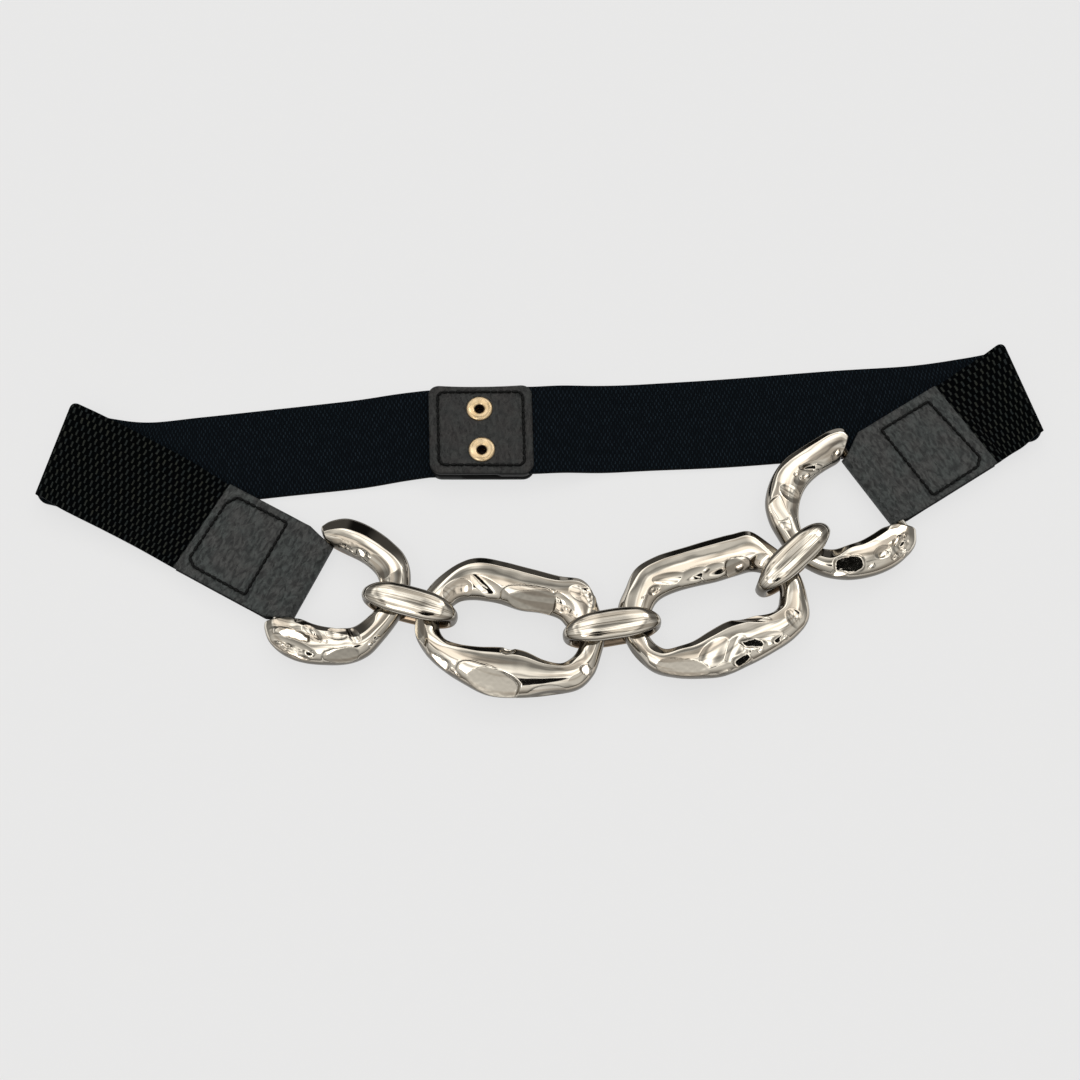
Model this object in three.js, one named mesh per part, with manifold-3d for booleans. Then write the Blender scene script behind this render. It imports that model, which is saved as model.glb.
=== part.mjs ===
// A chain belt that lies fastened on a flat surface: two hammered metal links and two end links,
// joined by three upright rings, on a wide woven elastic band with leather tabs and two snaps.
// Millimetres, +Z up, the surface at z = 0. Plan places are measured from one point of the layout,
// and the whole belt is then moved so that its box is centred on the origin.

import * as THREE from "three";
import { mergeVertices } from "three/addons/utils/BufferGeometryUtils.js";
import Module from "manifold-3d";

const wasm = await Module();
wasm.setup();

// Driving dimensions
const LAYOUT_CENTRE = { x: 1.57, y: 8.95 };
const ELASTIC_THICKNESS = 1.6;
const LEATHER = 1.1;
const GAP = 0.25;
const FOLD_HEIGHT = 8.5;
const BAR_RADIUS = 1.9;
const BAR_HALF_LENGTH = 20;
const BAR_SIDES = 12;
const LINK_BASE = 4.85;
const CONNECTOR = {
  height: 17.6, thickness: 4, endThickness: 2.9, topWidth: 11.4, bottomWidth: 9, tipWidth: 6.2, swell: 1.6,
  squareness: 2.7, openSquareness: 4,
};
const SNAP_TAB = { innerTop: 8.2, outerBottom: 0.9, thickness: 2.6, cornerRadius: 4.5 };
const SNAP = {
  flangeRadius: 5.25, holeRadius: 1.75, barrelRadius: 2.9, clearance: 0.3, crown: 0.75, rim: 0.3,
  roundOff: 0.8, plate: 0.6, postRadius: 1.4, postHeight: 2.1,
};

// Colours and finishes
const finish = (colour, roughness, metalness) =>
  new THREE.MeshStandardMaterial({ color: colour, roughness, metalness });
const NICKEL = finish("#cfc6b4", 0.12, 1);
const LEATHER_BLACK = finish("#3a3c3c", 0.6, 0);
const ELASTIC_BLACK = finish("#101314", 0.9, 0);
const PALE_GOLD = finish("#d9b98a", 0.25, 1);

// Frames of the two ends: the origin is the middle of the end link's bar, x points along the chain,
// and turn is the angle of x. toChain is the sign of x on the way to the chain, barZ the bar's height
// and armBase the height of the arms' tips: on the right they lie on the elastic band's back layer.
const ENDS = {
  left: { x: -89.45, y: -16.83, turn: -28.6, toChain: 1, barZ: 4.5, armBase: 0.3 },
  right: { x: 129.7, y: 19.3, turn: 32.3, toChain: -1, barZ: 5.5, armBase: 1.95 },
};

// Plan places of the chain's other pieces, with the rings' lengths. turn is in degrees.
const BIG_LINK_PLACES = {
  left: { x: -11.5, y: -39, turn: -9 },
  right: { x: 65.5, y: -31, turn: 17 },
};
const CONNECTOR_PLACES = {
  left: { x: -48.8, y: -30.1, turn: -15.1, length: 37.2 },
  middle: { x: 26.8, y: -39, turn: 9, length: 37.2 },
  right: { x: 95.9, y: -11.6, turn: 43.3, length: 38 },
};

// Small helpers
const radians = THREE.MathUtils.degToRad;
const mix = THREE.MathUtils.lerp;
const clamp = THREE.MathUtils.clamp;

function smoothCurve(points, closed) {
  return new THREE.CatmullRomCurve3(points, closed, "catmullrom", 0.5);
}

function samples(curve, count, closed) {
  const last = closed ? count : count - 1;
  return Array.from({ length: count }, (_, i) => curve.getPoint(i / last));
}

// A closed body through rings of equal length: a full loop, or a bar with a flat cap at each end.
function loft(rings, isLoop) {
  const size = rings[0].length;
  const positions = rings.flat().flatMap((p) => [p.x, p.y, p.z]);
  const index = [];
  const at = (ring, k) => (ring % rings.length) * size + (k % size);
  const spans = isLoop ? rings.length : rings.length - 1;
  for (let ring = 0; ring < spans; ring++) {
    for (let k = 0; k < size; k++) {
      index.push(at(ring, k), at(ring + 1, k), at(ring + 1, k + 1));
      index.push(at(ring, k), at(ring + 1, k + 1), at(ring, k + 1));
    }
  }
  if (!isLoop) {
    for (let k = 1; k < size - 1; k++) {
      index.push(at(0, 0), at(0, k), at(0, k + 1));
      index.push(at(spans, 0), at(spans, k + 1), at(spans, k));
    }
  }
  const geometry = new THREE.BufferGeometry();
  geometry.setAttribute("position", new THREE.Float32BufferAttribute(positions, 3));
  geometry.setIndex(index);
  return facingOut(geometry);
}

function signedVolume(geometry) {
  const p = geometry.attributes.position;
  const index = geometry.index;
  const [a, b, c] = [new THREE.Vector3(), new THREE.Vector3(), new THREE.Vector3()];
  let volume = 0;
  for (let i = 0; i < index.count; i += 3) {
    a.fromBufferAttribute(p, index.getX(i));
    b.fromBufferAttribute(p, index.getX(i + 1));
    c.fromBufferAttribute(p, index.getX(i + 2));
    volume += a.dot(b.cross(c)) / 6;
  }
  return volume;
}

function facingOut(geometry) {
  if (signedVolume(geometry) < 0) geometry.index.array.reverse();
  return geometry;
}

// Joining and cutting
function toSolid(geometry) {
  let bare = geometry.clone();
  bare.deleteAttribute("normal");
  bare.deleteAttribute("uv");
  bare = facingOut(mergeVertices(bare, 1e-4));
  const vertProperties = new Float32Array(bare.attributes.position.array);
  const triVerts = new Uint32Array(bare.index.array);
  return new wasm.Manifold(new wasm.Mesh({ numProp: 3, vertProperties, triVerts }));
}

function toGeometry(solid) {
  const mesh = solid.getMesh();
  const geometry = new THREE.BufferGeometry();
  geometry.setAttribute("position", new THREE.BufferAttribute(mesh.vertProperties, 3));
  geometry.setIndex(new THREE.BufferAttribute(mesh.triVerts, 1));
  return geometry;
}

function namedMesh(name, geometry, material) {
  const mesh = new THREE.Mesh(geometry, material);
  mesh.name = name;
  return mesh;
}

// Cast bars of the links. A row is one section across the bar, seen from above: its outer and inner
// edge, where the crest lies between them (0 inner, 1 outer), and the crest's height over the base.
const BIG_LINK_LEFT = [
  { outer: [-34.5, 2.0], inner: [-27.2, 1.5], crest: 0.5, height: 7.9 },
  { outer: [-33.2, 8.8], inner: [-23.6, 4.6], crest: 0.6, height: 8.6 },
  { outer: [-29.0, 15.3], inner: [-20.2, 8.0], crest: 0.7, height: 9.3 },
  { outer: [-22.5, 21.5], inner: [-16.2, 9.4], crest: 0.75, height: 9.6 },
  { outer: [-15.5, 24.8], inner: [-11.5, 9.9], crest: 0.75, height: 9.8 },
  { outer: [-5.5, 24.6], inner: [-5.0, 9.7], crest: 0.72, height: 9.6 },
  { outer: [5.0, 23.5], inner: [3.0, 8.2], crest: 0.72, height: 9.5 },
  { outer: [15.0, 22.3], inner: [11.0, 8.3], crest: 0.72, height: 9.5 },
  { outer: [24.0, 21.8], inner: [17.5, 7.3], crest: 0.7, height: 9.4 },
  { outer: [30.0, 17.2], inner: [21.0, 4.6], crest: 0.62, height: 9.0 },
  { outer: [33.8, 10.5], inner: [24.6, 2.3], crest: 0.5, height: 8.2 },
  { outer: [36.0, 3.0], inner: [26.8, -1.0], crest: 0.5, height: 7.9 },
  { outer: [36.0, -5.0], inner: [26.2, -5.0], crest: 0.5, height: 8.1 },
  { outer: [34.4, -12.8], inner: [23.8, -8.8], crest: 0.45, height: 9.0 },
  { outer: [28.5, -19.0], inner: [20.6, -11.2], crest: 0.4, height: 9.5 },
  { outer: [18.5, -22.5], inner: [14.5, -10.8], crest: 0.38, height: 9.6 },
  { outer: [7.5, -24.6], inner: [7.0, -8.7], crest: 0.4, height: 9.8 },
  { outer: [-3.5, -25.4], inner: [-1.5, -8.6], crest: 0.38, height: 9.8 },
  { outer: [-13.0, -23.2], inner: [-9.5, -9.7], crest: 0.38, height: 9.7 },
  { outer: [-21.5, -19.3], inner: [-16.5, -10.0], crest: 0.4, height: 9.5 },
  { outer: [-28.5, -14.5], inner: [-21.8, -8.6], crest: 0.45, height: 9.2 },
  { outer: [-33.3, -8.8], inner: [-25.0, -5.5], crest: 0.55, height: 8.7 },
  { outer: [-34.8, -3.0], inner: [-26.2, -1.8], crest: 0.5, height: 8.1 },
];

const BIG_LINK_RIGHT = [
  { outer: [-35.8, 2.5], inner: [-28.4, 1.5], crest: 0.5, height: 7.9 },
  { outer: [-34.6, 10.5], inner: [-24.2, 4.8], crest: 0.6, height: 8.6 },
  { outer: [-29.5, 17.0], inner: [-20.8, 8.3], crest: 0.7, height: 9.3 },
  { outer: [-23.8, 22.6], inner: [-17.0, 10.2], crest: 0.75, height: 9.6 },
  { outer: [-15.5, 24.9], inner: [-11.5, 10.9], crest: 0.75, height: 9.7 },
  { outer: [-5.0, 25.3], inner: [-5.0, 10.8], crest: 0.72, height: 9.6 },
  { outer: [6.0, 25.5], inner: [4.0, 10.2], crest: 0.72, height: 9.6 },
  { outer: [15.0, 25.2], inner: [12.0, 10.3], crest: 0.72, height: 9.6 },
  { outer: [22.3, 24.2], inner: [18.5, 10.1], crest: 0.7, height: 9.4 },
  { outer: [28.3, 17.8], inner: [22.8, 7.9], crest: 0.62, height: 8.6 },
  { outer: [33.0, 10.5], inner: [25.6, 4.4], crest: 0.5, height: 7.9 },
  { outer: [35.6, 2.0], inner: [26.1, 0.5], crest: 0.45, height: 8.3 },
  { outer: [35.2, -6.0], inner: [24.6, -3.4], crest: 0.4, height: 9.0 },
  { outer: [31.8, -14.2], inner: [22.0, -7.2], crest: 0.4, height: 9.4 },
  { outer: [24.5, -19.3], inner: [17.0, -8.7], crest: 0.38, height: 9.6 },
  { outer: [14.5, -22.3], inner: [9.5, -7.7], crest: 0.38, height: 9.7 },
  { outer: [5.0, -24.3], inner: [2.0, -7.3], crest: 0.4, height: 9.8 },
  { outer: [-5.0, -24.8], inner: [-5.5, -8.9], crest: 0.4, height: 9.8 },
  { outer: [-14.0, -23.6], inner: [-12.5, -10.8], crest: 0.38, height: 9.6 },
  { outer: [-22.5, -20.8], inner: [-18.5, -11.0], crest: 0.4, height: 9.4 },
  { outer: [-29.5, -16.5], inner: [-23.2, -10.2], crest: 0.45, height: 9.0 },
  { outer: [-33.8, -9.5], inner: [-26.0, -6.9], crest: 0.5, height: 8.5 },
  { outer: [-35.6, -3.0], inner: [-27.4, -2.6], crest: 0.5, height: 8.0 },
];

// The end links run from the far arm's tip round to the near arm's tip, in the frame of their end.
const END_LINK_LEFT = [
  { outer: [-5.6, 19.6], inner: [3.8, 15.5], crest: 0.5, height: 7.6 },
  { outer: [-3.3, 23.8], inner: [5.7, 15.4], crest: 0.5, height: 8.0 },
  { outer: [1.7, 27.6], inner: [8.2, 15.4], crest: 0.5, height: 8.3 },
  { outer: [8.2, 28.7], inner: [11.7, 15.4], crest: 0.5, height: 8.6 },
  { outer: [15.7, 28.3], inner: [15.7, 15.2], crest: 0.5, height: 8.8 },
  { outer: [23.2, 26.7], inner: [20.2, 14.4], crest: 0.52, height: 8.8 },
  { outer: [29.7, 24.4], inner: [24.7, 12.6], crest: 0.55, height: 8.7 },
  { outer: [34.7, 20.3], inner: [28.2, 9.9], crest: 0.55, height: 8.4 },
  { outer: [38.2, 14.2], inner: [30.8, 6.4], crest: 0.5, height: 8.0 },
  { outer: [40.4, 7.3], inner: [31.8, 2.8], crest: 0.5, height: 7.9 },
  { outer: [40.8, 0.5], inner: [31.4, -1.0], crest: 0.5, height: 8.1 },
  { outer: [40.0, -7.5], inner: [30.1, -5.2], crest: 0.5, height: 8.5 },
  { outer: [38.0, -15.8], inner: [27.7, -9.8], crest: 0.45, height: 8.8 },
  { outer: [33.2, -21.9], inner: [23.7, -13.0], crest: 0.45, height: 9.0 },
  { outer: [25.7, -25.5], inner: [19.0, -14.7], crest: 0.45, height: 9.0 },
  { outer: [17.7, -28.6], inner: [14.2, -15.7], crest: 0.45, height: 8.9 },
  { outer: [9.5, -29.4], inner: [10.0, -16.0], crest: 0.45, height: 8.6 },
  { outer: [2.2, -28.6], inner: [7.0, -15.9], crest: 0.45, height: 8.3 },
  { outer: [-3.4, -26.0], inner: [5.1, -15.8], crest: 0.45, height: 7.9 },
  { outer: [-5.1, -23.0], inner: [4.0, -15.7], crest: 0.45, height: 7.5 },
];

const END_LINK_RIGHT = [
  { outer: [-5.4, 22.4], inner: [3.4, 16.6], crest: 0.5, height: 7.6 },
  { outer: [-3.6, 26.4], inner: [5.5, 16.2], crest: 0.5, height: 8.0 },
  { outer: [1.5, 28.0], inner: [8.0, 16.1], crest: 0.5, height: 8.3 },
  { outer: [8.5, 27.9], inner: [11.5, 16.0], crest: 0.5, height: 8.6 },
  { outer: [16.5, 27.5], inner: [16.0, 15.6], crest: 0.55, height: 8.8 },
  { outer: [24.0, 26.8], inner: [21.0, 14.5], crest: 0.6, height: 8.9 },
  { outer: [30.5, 24.4], inner: [25.5, 12.4], crest: 0.6, height: 8.9 },
  { outer: [36.0, 20.7], inner: [29.5, 9.3], crest: 0.55, height: 8.8 },
  { outer: [40.5, 15.8], inner: [32.5, 5.7], crest: 0.5, height: 8.6 },
  { outer: [43.3, 9.5], inner: [34.6, 1.8], crest: 0.5, height: 8.3 },
  { outer: [44.3, 2.5], inner: [35.6, -1.8], crest: 0.5, height: 8.0 },
  { outer: [44.4, -4.0], inner: [35.6, -5.2], crest: 0.5, height: 7.9 },
  { outer: [42.8, -12.0], inner: [33.6, -9.6], crest: 0.5, height: 8.0 },
  { outer: [38.5, -19.7], inner: [29.8, -12.9], crest: 0.5, height: 8.6 },
  { outer: [31.5, -25.5], inner: [25.0, -15.1], crest: 0.45, height: 9.0 },
  { outer: [23.0, -29.0], inner: [19.5, -16.1], crest: 0.45, height: 9.1 },
  { outer: [14.5, -30.3], inner: [14.0, -16.2], crest: 0.45, height: 9.0 },
  { outer: [7.0, -29.6], inner: [9.5, -16.0], crest: 0.45, height: 8.6 },
  { outer: [0.8, -27.2], inner: [6.0, -16.0], crest: 0.45, height: 8.2 },
  { outer: [-4.0, -22.6], inner: [3.4, -16.0], crest: 0.45, height: 7.6 },
];

const LINK_STATIONS = 34;
const END_LINK_STATIONS = 30;
// A cast section, in shares of the way across from the inner (0) to the outer edge (1) and of the way
// up from base to crest: a narrower foot, upright walls, sloping shoulders and a narrow flat crest.
const FOOT_INSET = 0.14;
const WALL = { bottom: 0.2, top: 0.6 };
const SHOULDER = { out: 0.35, up: 0.86 };
const CREST_HALF_WIDTH = 0.12;

function castSection(outer, inner, crest, height, base) {
  const corners = [
    [FOOT_INSET, 0],
    [1 - FOOT_INSET, 0],
    [1, WALL.bottom],
    [1, WALL.top],
    [mix(1, crest, SHOULDER.out), SHOULDER.up],
    [crest + CREST_HALF_WIDTH, 1],
    [crest - CREST_HALF_WIDTH, 1],
    [mix(0, crest, SHOULDER.out), SHOULDER.up],
    [0, WALL.top],
    [0, WALL.bottom],
  ];
  return corners.map(([across, up]) =>
    new THREE.Vector3(mix(inner.x, outer.x, across), mix(inner.y, outer.y, across), base + up * height));
}

// Rings of sections along a table of rows; side is the sign of x, baseAt gives the base's height.
function castRings(rows, count, closed, side, baseAt) {
  const plan = (column) => rows.map((row) => new THREE.Vector3(side * row[column][0], row[column][1], 0));
  const outer = samples(smoothCurve(plan("outer"), closed), count, closed);
  const inner = samples(smoothCurve(plan("inner"), closed), count, closed);
  const form = rows.map((row) => new THREE.Vector3(row.crest, row.height, 0));
  const forms = samples(smoothCurve(form, closed), count, closed);
  return outer.map((point, i) => {
    const base = baseAt(side * (point.x + inner[i].x) / 2);
    return castSection(point, inner[i], forms[i].x, forms[i].y, base);
  });
}

function bigLink(name, rows, place) {
  const link = namedMesh(name, loft(castRings(rows, LINK_STATIONS, true, 1, () => 0), true), NICKEL);
  link.position.set(place.x, place.y, LINK_BASE);
  link.rotation.z = radians(place.turn);
  return link;
}

// An end link leans: its arms are low beside the leather, and its round end lies on the ring.
const END_LEAN = { lowX: -6, highX: 31 };

function endLink(name, rows, end) {
  const baseAt = (x) => {
    const t = clamp((x - END_LEAN.lowX) / (END_LEAN.highX - END_LEAN.lowX), 0, 1);
    return mix(end.armBase, LINK_BASE, t);
  };
  const casting = loft(castRings(rows, END_LINK_STATIONS, false, end.toChain, baseAt), false);
  const bar = new THREE.CylinderGeometry(BAR_RADIUS, BAR_RADIUS, 2 * BAR_HALF_LENGTH, BAR_SIDES);
  bar.translate(0, 0, end.barZ);
  return namedMesh(name, toGeometry(toSolid(casting).add(toSolid(bar))), NICKEL);
}

// A connector is an upright ring: two bars, wide at the middle, with narrow rounded ends. Half of its
// section, from the outside (depth 0) to the inside (1), as a share of the half width.
const CONNECTOR_STATIONS = 24;
const CONNECTOR_SECTION = [
  { depth: 0, width: 0.45 },
  { depth: 0.2, width: 0.85 },
  { depth: 0.5, width: 1 },
  { depth: 0.85, width: 0.8 },
  { depth: 1, width: 0.35 },
];

function connector(name, place) {
  const { height, thickness, endThickness, squareness, openSquareness } = CONNECTOR;
  const rings = [];
  for (let i = 0; i < CONNECTOR_STATIONS; i++) {
    const angle = (i / CONNECTOR_STATIONS) * 2 * Math.PI;
    const [c, s] = [Math.cos(angle), Math.sin(angle)];
    const barWidth = s > 0 ? CONNECTOR.topWidth : CONNECTOR.bottomWidth;
    const halfWidth = mix(CONNECTOR.tipWidth, barWidth, Math.abs(s) ** CONNECTOR.swell) / 2;
    const oval = (halfLength, halfHeight, power) => new THREE.Vector3(
      Math.sign(c) * Math.abs(c) ** power * halfLength, 0,
      Math.sign(s) * Math.abs(s) ** power * halfHeight);
    const outside = oval(place.length / 2, height / 2, 2 / squareness);
    const inside = oval(place.length / 2 - endThickness, height / 2 - thickness, 2 / openSquareness);
    const edge = (side) => CONNECTOR_SECTION.map(({ depth, width }) => {
      const p = outside.clone().lerp(inside, depth);
      return new THREE.Vector3(p.x, side * width * halfWidth, p.z + height / 2);
    });
    rings.push([...edge(1), ...edge(-1).reverse()]);
  }
  const ring = namedMesh(name, loft(rings, true), NICKEL);
  ring.position.set(place.x, place.y, 0);
  ring.rotation.z = radians(place.turn);
  return ring;
}

// Elastic bands. A row is a line across the band: its far and near edge and its mid height.
// The band leaves its snap tab, runs out to the fold, turns over and comes back to its leather tab.
const LOW = ELASTIC_THICKNESS / 2;
const HIGH = FOLD_HEIGHT - ELASTIC_THICKNESS / 2;
const INNER_TAB_POCKET_Z = SNAP_TAB.innerTop - LEATHER - GAP - ELASTIC_THICKNESS / 2;
const OUTER_TAB_POCKET_Z = SNAP_TAB.outerBottom + LEATHER + GAP + ELASTIC_THICKNESS / 2;

const BAND_LEFT = {
  back: [
    { far: [-32.4, 63.2], near: [-32.2, 25.6], z: OUTER_TAB_POCKET_Z },
    { far: [-43.0, 62.9], near: [-42.0, 25.4], z: OUTER_TAB_POCKET_Z },
    { far: [-46.0, 62.8], near: [-44.5, 25.2], z: OUTER_TAB_POCKET_Z },
    { far: [-58.0, 61.9], near: [-54.0, 24.3], z: 1.7 },
    { far: [-76.5, 59.3], near: [-72.5, 21.4], z: LOW },
    { far: [-110.0, 55.1], near: [-105.5, 17.6], z: LOW },
    { far: [-136.0, 52.0], near: [-131.5, 14.3], z: LOW },
    { far: [-156.0, 49.8], near: [-158.0, 10.8], z: LOW },
    { far: [-171.0, 51.4], near: [-178.5, 11.8], z: LOW },
    { far: [-183.2, 54.7], near: [-192.7, 14.9], z: LOW },
  ],
  front: [
    { far: [-183.2, 54.7], near: [-192.7, 14.9], z: HIGH },
    { far: [-172.0, 49.4], near: [-184.0, 9.8], z: 7.0 },
    { far: [-154.5, 40.5], near: [-168.5, 2.2], z: 5.7 },
    { far: [-137.5, 31.3], near: [-154.5, -5.0], z: 4.8 },
  ],
};

const BAND_RIGHT = {
  back: [
    { far: [-14.4, 63.0], near: [-14.2, 25.5], z: INNER_TAB_POCKET_Z },
    { far: [-4.0, 63.1], near: [-3.4, 25.6], z: INNER_TAB_POCKET_Z },
    { far: [-1.0, 63.2], near: [-0.4, 25.7], z: INNER_TAB_POCKET_Z },
    { far: [9.0, 64.2], near: [10.0, 26.6], z: 5.0 },
    { far: [24.0, 65.8], near: [25.0, 28.0], z: 1.6 },
    { far: [41.0, 66.8], near: [42.0, 29.2], z: LOW },
    { far: [73.0, 69.0], near: [75.0, 30.8], z: LOW },
    { far: [117.0, 72.8], near: [120.0, 34.4], z: LOW },
    { far: [150.0, 75.2], near: [156.5, 36.0], z: LOW },
    { far: [172.0, 78.6], near: [182.0, 39.4], z: LOW },
    { far: [184.6, 81.2], near: [195.9, 42.0], z: LOW },
  ],
  front: [
    { far: [184.6, 81.2], near: [195.9, 42.0], z: HIGH },
    { far: [176.5, 75.4], near: [190.5, 37.2], z: 6.8 },
    { far: [169.0, 70.6], near: [185.5, 34.2], z: 5.9 },
    { far: [163.0, 66.6], near: [182.0, 32.0], z: 5.1 },
  ],
};

const HAIRPIN_STEPS = 8;
const ROWS_PER_SPAN = 2;
// How far the band goes into its leather tab, where it starts to run level, and its play at each edge.
const FRONT_POCKET = { depth: 29, levelFrom: -3, mouthLine: 2, edgePlay: 0.2 };

function endPoint(end, x, y) {
  const along = new THREE.Vector2(end.toChain * x, y).rotateAround(new THREE.Vector2(), radians(end.turn));
  return [end.x + along.x, end.y + along.y];
}

// The last rows of a band lie in its leather tab, square to the tab.
function pocketRows(end, tab) {
  const row = (x) => ({
    far: endPoint(end, tab.mouth + x, tab.farEdge - FRONT_POCKET.edgePlay),
    near: endPoint(end, tab.mouth + x, tab.nearEdge + FRONT_POCKET.edgePlay),
    z: end.barZ,
  });
  return [row(FRONT_POCKET.levelFrom), row(FRONT_POCKET.mouthLine), row(FRONT_POCKET.depth)];
}

function hairpinRows(foldRow) {
  const far = new THREE.Vector2(...foldRow.far);
  const near = new THREE.Vector2(...foldRow.near);
  const outward = far.clone().sub(near).normalize().rotateAround(new THREE.Vector2(), Math.PI / 2);
  if (outward.x * foldRow.far[0] < 0) outward.negate();
  const radius = (HIGH - LOW) / 2;
  return Array.from({ length: HAIRPIN_STEPS - 1 }, (_, i) => {
    const angle = -Math.PI / 2 + (Math.PI * (i + 1)) / HAIRPIN_STEPS;
    const push = outward.clone().multiplyScalar(radius * Math.cos(angle));
    const move = ([x, y]) => [x + push.x, y + push.y];
    return { far: move(foldRow.far), near: move(foldRow.near), z: LOW + radius * (1 + Math.sin(angle)) };
  });
}

function stripLines(rows) {
  const count = (rows.length - 1) * ROWS_PER_SPAN + 1;
  const edge = (column) => {
    const points = rows.map((row) => new THREE.Vector3(row[column][0], row[column][1], row.z));
    return samples(smoothCurve(points, false), count, false).map((p) => p.setZ(Math.max(p.z, LOW)));
  };
  const far = edge("far");
  const near = edge("near");
  return far.map((point, i) => [point, near[i]]);
}

function elasticBand(name, band, end, tab) {
  const foldRow = band.back[band.back.length - 1];
  const hairpin = hairpinRows(foldRow).map((row) => [
    new THREE.Vector3(...row.far, row.z), new THREE.Vector3(...row.near, row.z)]);
  const lines = [
    ...stripLines(band.back),
    ...hairpin,
    ...stripLines([...band.front, ...pocketRows(end, tab)]),
  ];
  const rings = lines.map(([far, near], i) => {
    const [farBefore, nearBefore] = lines[Math.max(i - 1, 0)];
    const [farAfter, nearAfter] = lines[Math.min(i + 1, lines.length - 1)];
    const along = farAfter.clone().add(nearAfter).sub(farBefore).sub(nearBefore);
    const up = along.cross(far.clone().sub(near)).setLength(ELASTIC_THICKNESS / 2);
    return [far.clone().add(up), far.clone().sub(up), near.clone().sub(up), near.clone().add(up)];
  });
  return namedMesh(name, loft(rings, false), ELASTIC_BLACK);
}

// Leather tabs at the chain. mouth is where the elastic goes in, the loop's edges are narrower,
// and each side has a slanting edge beside the end link's arm.
const TABS = {
  left: { mouth: -45.4, farEdge: 18.3, nearEdge: -21.1, farSlant: -8.8, nearSlant: -6.4, loopHalf: 14.4 },
  right: { mouth: -47, farEdge: 22.2, nearEdge: -17.6, farSlant: -9, nearSlant: -8, loopHalf: 14.6 },
};
const LOOP_REACH = BAR_RADIUS + GAP + LEATHER;
const LOOP_ARC_STEPS = 10;
const LOOP_CORNER_X = 1.6;
// Half thickness of a tab past the elastic's end and beside the bar, and the angles of its two faces
// round the bar.
const NECK = { start: 4, startHalf: 1.9, end: -6, endHalf: 2.2, innerStart: 2, innerEnd: -4 };
const WRAP_ANGLE = { outer: 125, inner: 150 };

// Side view of a folded tab, x along the tab: the outer face round the bar, then the inner face back.
function tabProfile(tab) {
  const pocket = ELASTIC_THICKNESS / 2 + GAP;
  const pocketEnd = tab.mouth + FRONT_POCKET.depth + GAP;
  const closed = GAP / 2;
  const bore = BAR_RADIUS + GAP;
  const arc = (radius, limit) => Array.from({ length: LOOP_ARC_STEPS + 1 }, (_, i) => {
    const angle = radians(mix(limit, -limit, i / LOOP_ARC_STEPS));
    return [radius * Math.cos(angle), radius * Math.sin(angle)];
  });
  const mirrored = (points) => points.map(([x, z]) => [x, -z]);
  const outerTop = [
    [tab.mouth, pocket + LEATHER],
    [pocketEnd, pocket + LEATHER],
    [pocketEnd + NECK.start, NECK.startHalf],
    [NECK.end, NECK.endHalf],
  ];
  const innerTop = [
    [tab.mouth, pocket],
    [pocketEnd, pocket],
    [pocketEnd + NECK.innerStart, closed],
    [NECK.innerEnd, closed],
  ];
  const points = [
    ...outerTop, ...arc(bore + LEATHER, WRAP_ANGLE.outer), ...mirrored(outerTop).reverse(),
    ...mirrored(innerTop), ...arc(bore, WRAP_ANGLE.inner).reverse(), ...innerTop.reverse(),
  ];
  return new THREE.Shape(points.map(([x, z]) => new THREE.Vector2(x, z)));
}

// Leaves are cut from strips that are wider and longer than any tab, by prisms taller than the belt.
const LEAF_WIDTH = 100;
const CUTTER_HEIGHT = 40;

function prism(points) {
  const outline = new THREE.Shape(points.map(([x, y]) => new THREE.Vector2(x, y)));
  const geometry = new THREE.ExtrudeGeometry(outline, { depth: CUTTER_HEIGHT, bevelEnabled: false });
  return toSolid(geometry.translate(0, 0, -CUTTER_HEIGHT / 2));
}

function leatherTab(name, tab, end) {
  const leaf = new THREE.ExtrudeGeometry(tabProfile(tab), { depth: LEAF_WIDTH, bevelEnabled: false });
  leaf.rotateX(Math.PI / 2).translate(0, LEAF_WIDTH / 2, end.barZ).scale(end.toChain, 1, 1);
  const pastLoop = LOOP_REACH + 1;
  const outline = [
    [tab.mouth, tab.nearEdge], [tab.nearSlant, tab.nearEdge], [LOOP_CORNER_X, -tab.loopHalf],
    [pastLoop, -tab.loopHalf], [pastLoop, tab.loopHalf], [LOOP_CORNER_X, tab.loopHalf],
    [tab.farSlant, tab.farEdge], [tab.mouth, tab.farEdge],
  ].map(([x, y]) => [end.toChain * x, y]);
  return namedMesh(name, toGeometry(toSolid(leaf).intersect(prism(outline))), LEATHER_BLACK);
}

// Snap tabs at the back: rounded leaves, thin at the snaps and open where the elastic goes in.
const SNAP_TAB_CORNERS = [[-42.9, 24.9], [-2.3, 24.9], [-3.4, 63.7], [-44.6, 63.3]];
const SNAP_TAB_POCKET = 12;
const SNAP_TAB_TAPER = 2.2;
const CORNER_STEPS = 4;
const SNAP_SIDES = 16;
const SNAPS = { far: { x: -24.0, y: 52.6 }, near: { x: -22.8, y: 34.8 } };

function roundedOutline(corners, radius) {
  const path = new THREE.Path();
  corners.forEach((corner, i) => {
    const here = new THREE.Vector2(...corner);
    const before = new THREE.Vector2(...corners[(i + corners.length - 1) % corners.length]);
    const after = new THREE.Vector2(...corners[(i + 1) % corners.length]);
    const start = here.clone().add(before.sub(here).setLength(radius));
    const leave = here.clone().add(after.sub(here).setLength(radius));
    if (i === 0) path.moveTo(start.x, start.y);
    else path.lineTo(start.x, start.y);
    path.quadraticCurveTo(here.x, here.y, leave.x, leave.y);
  });
  return path.getPoints(CORNER_STEPS).map((p) => [p.x, p.y]).slice(0, -1);
}

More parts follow.
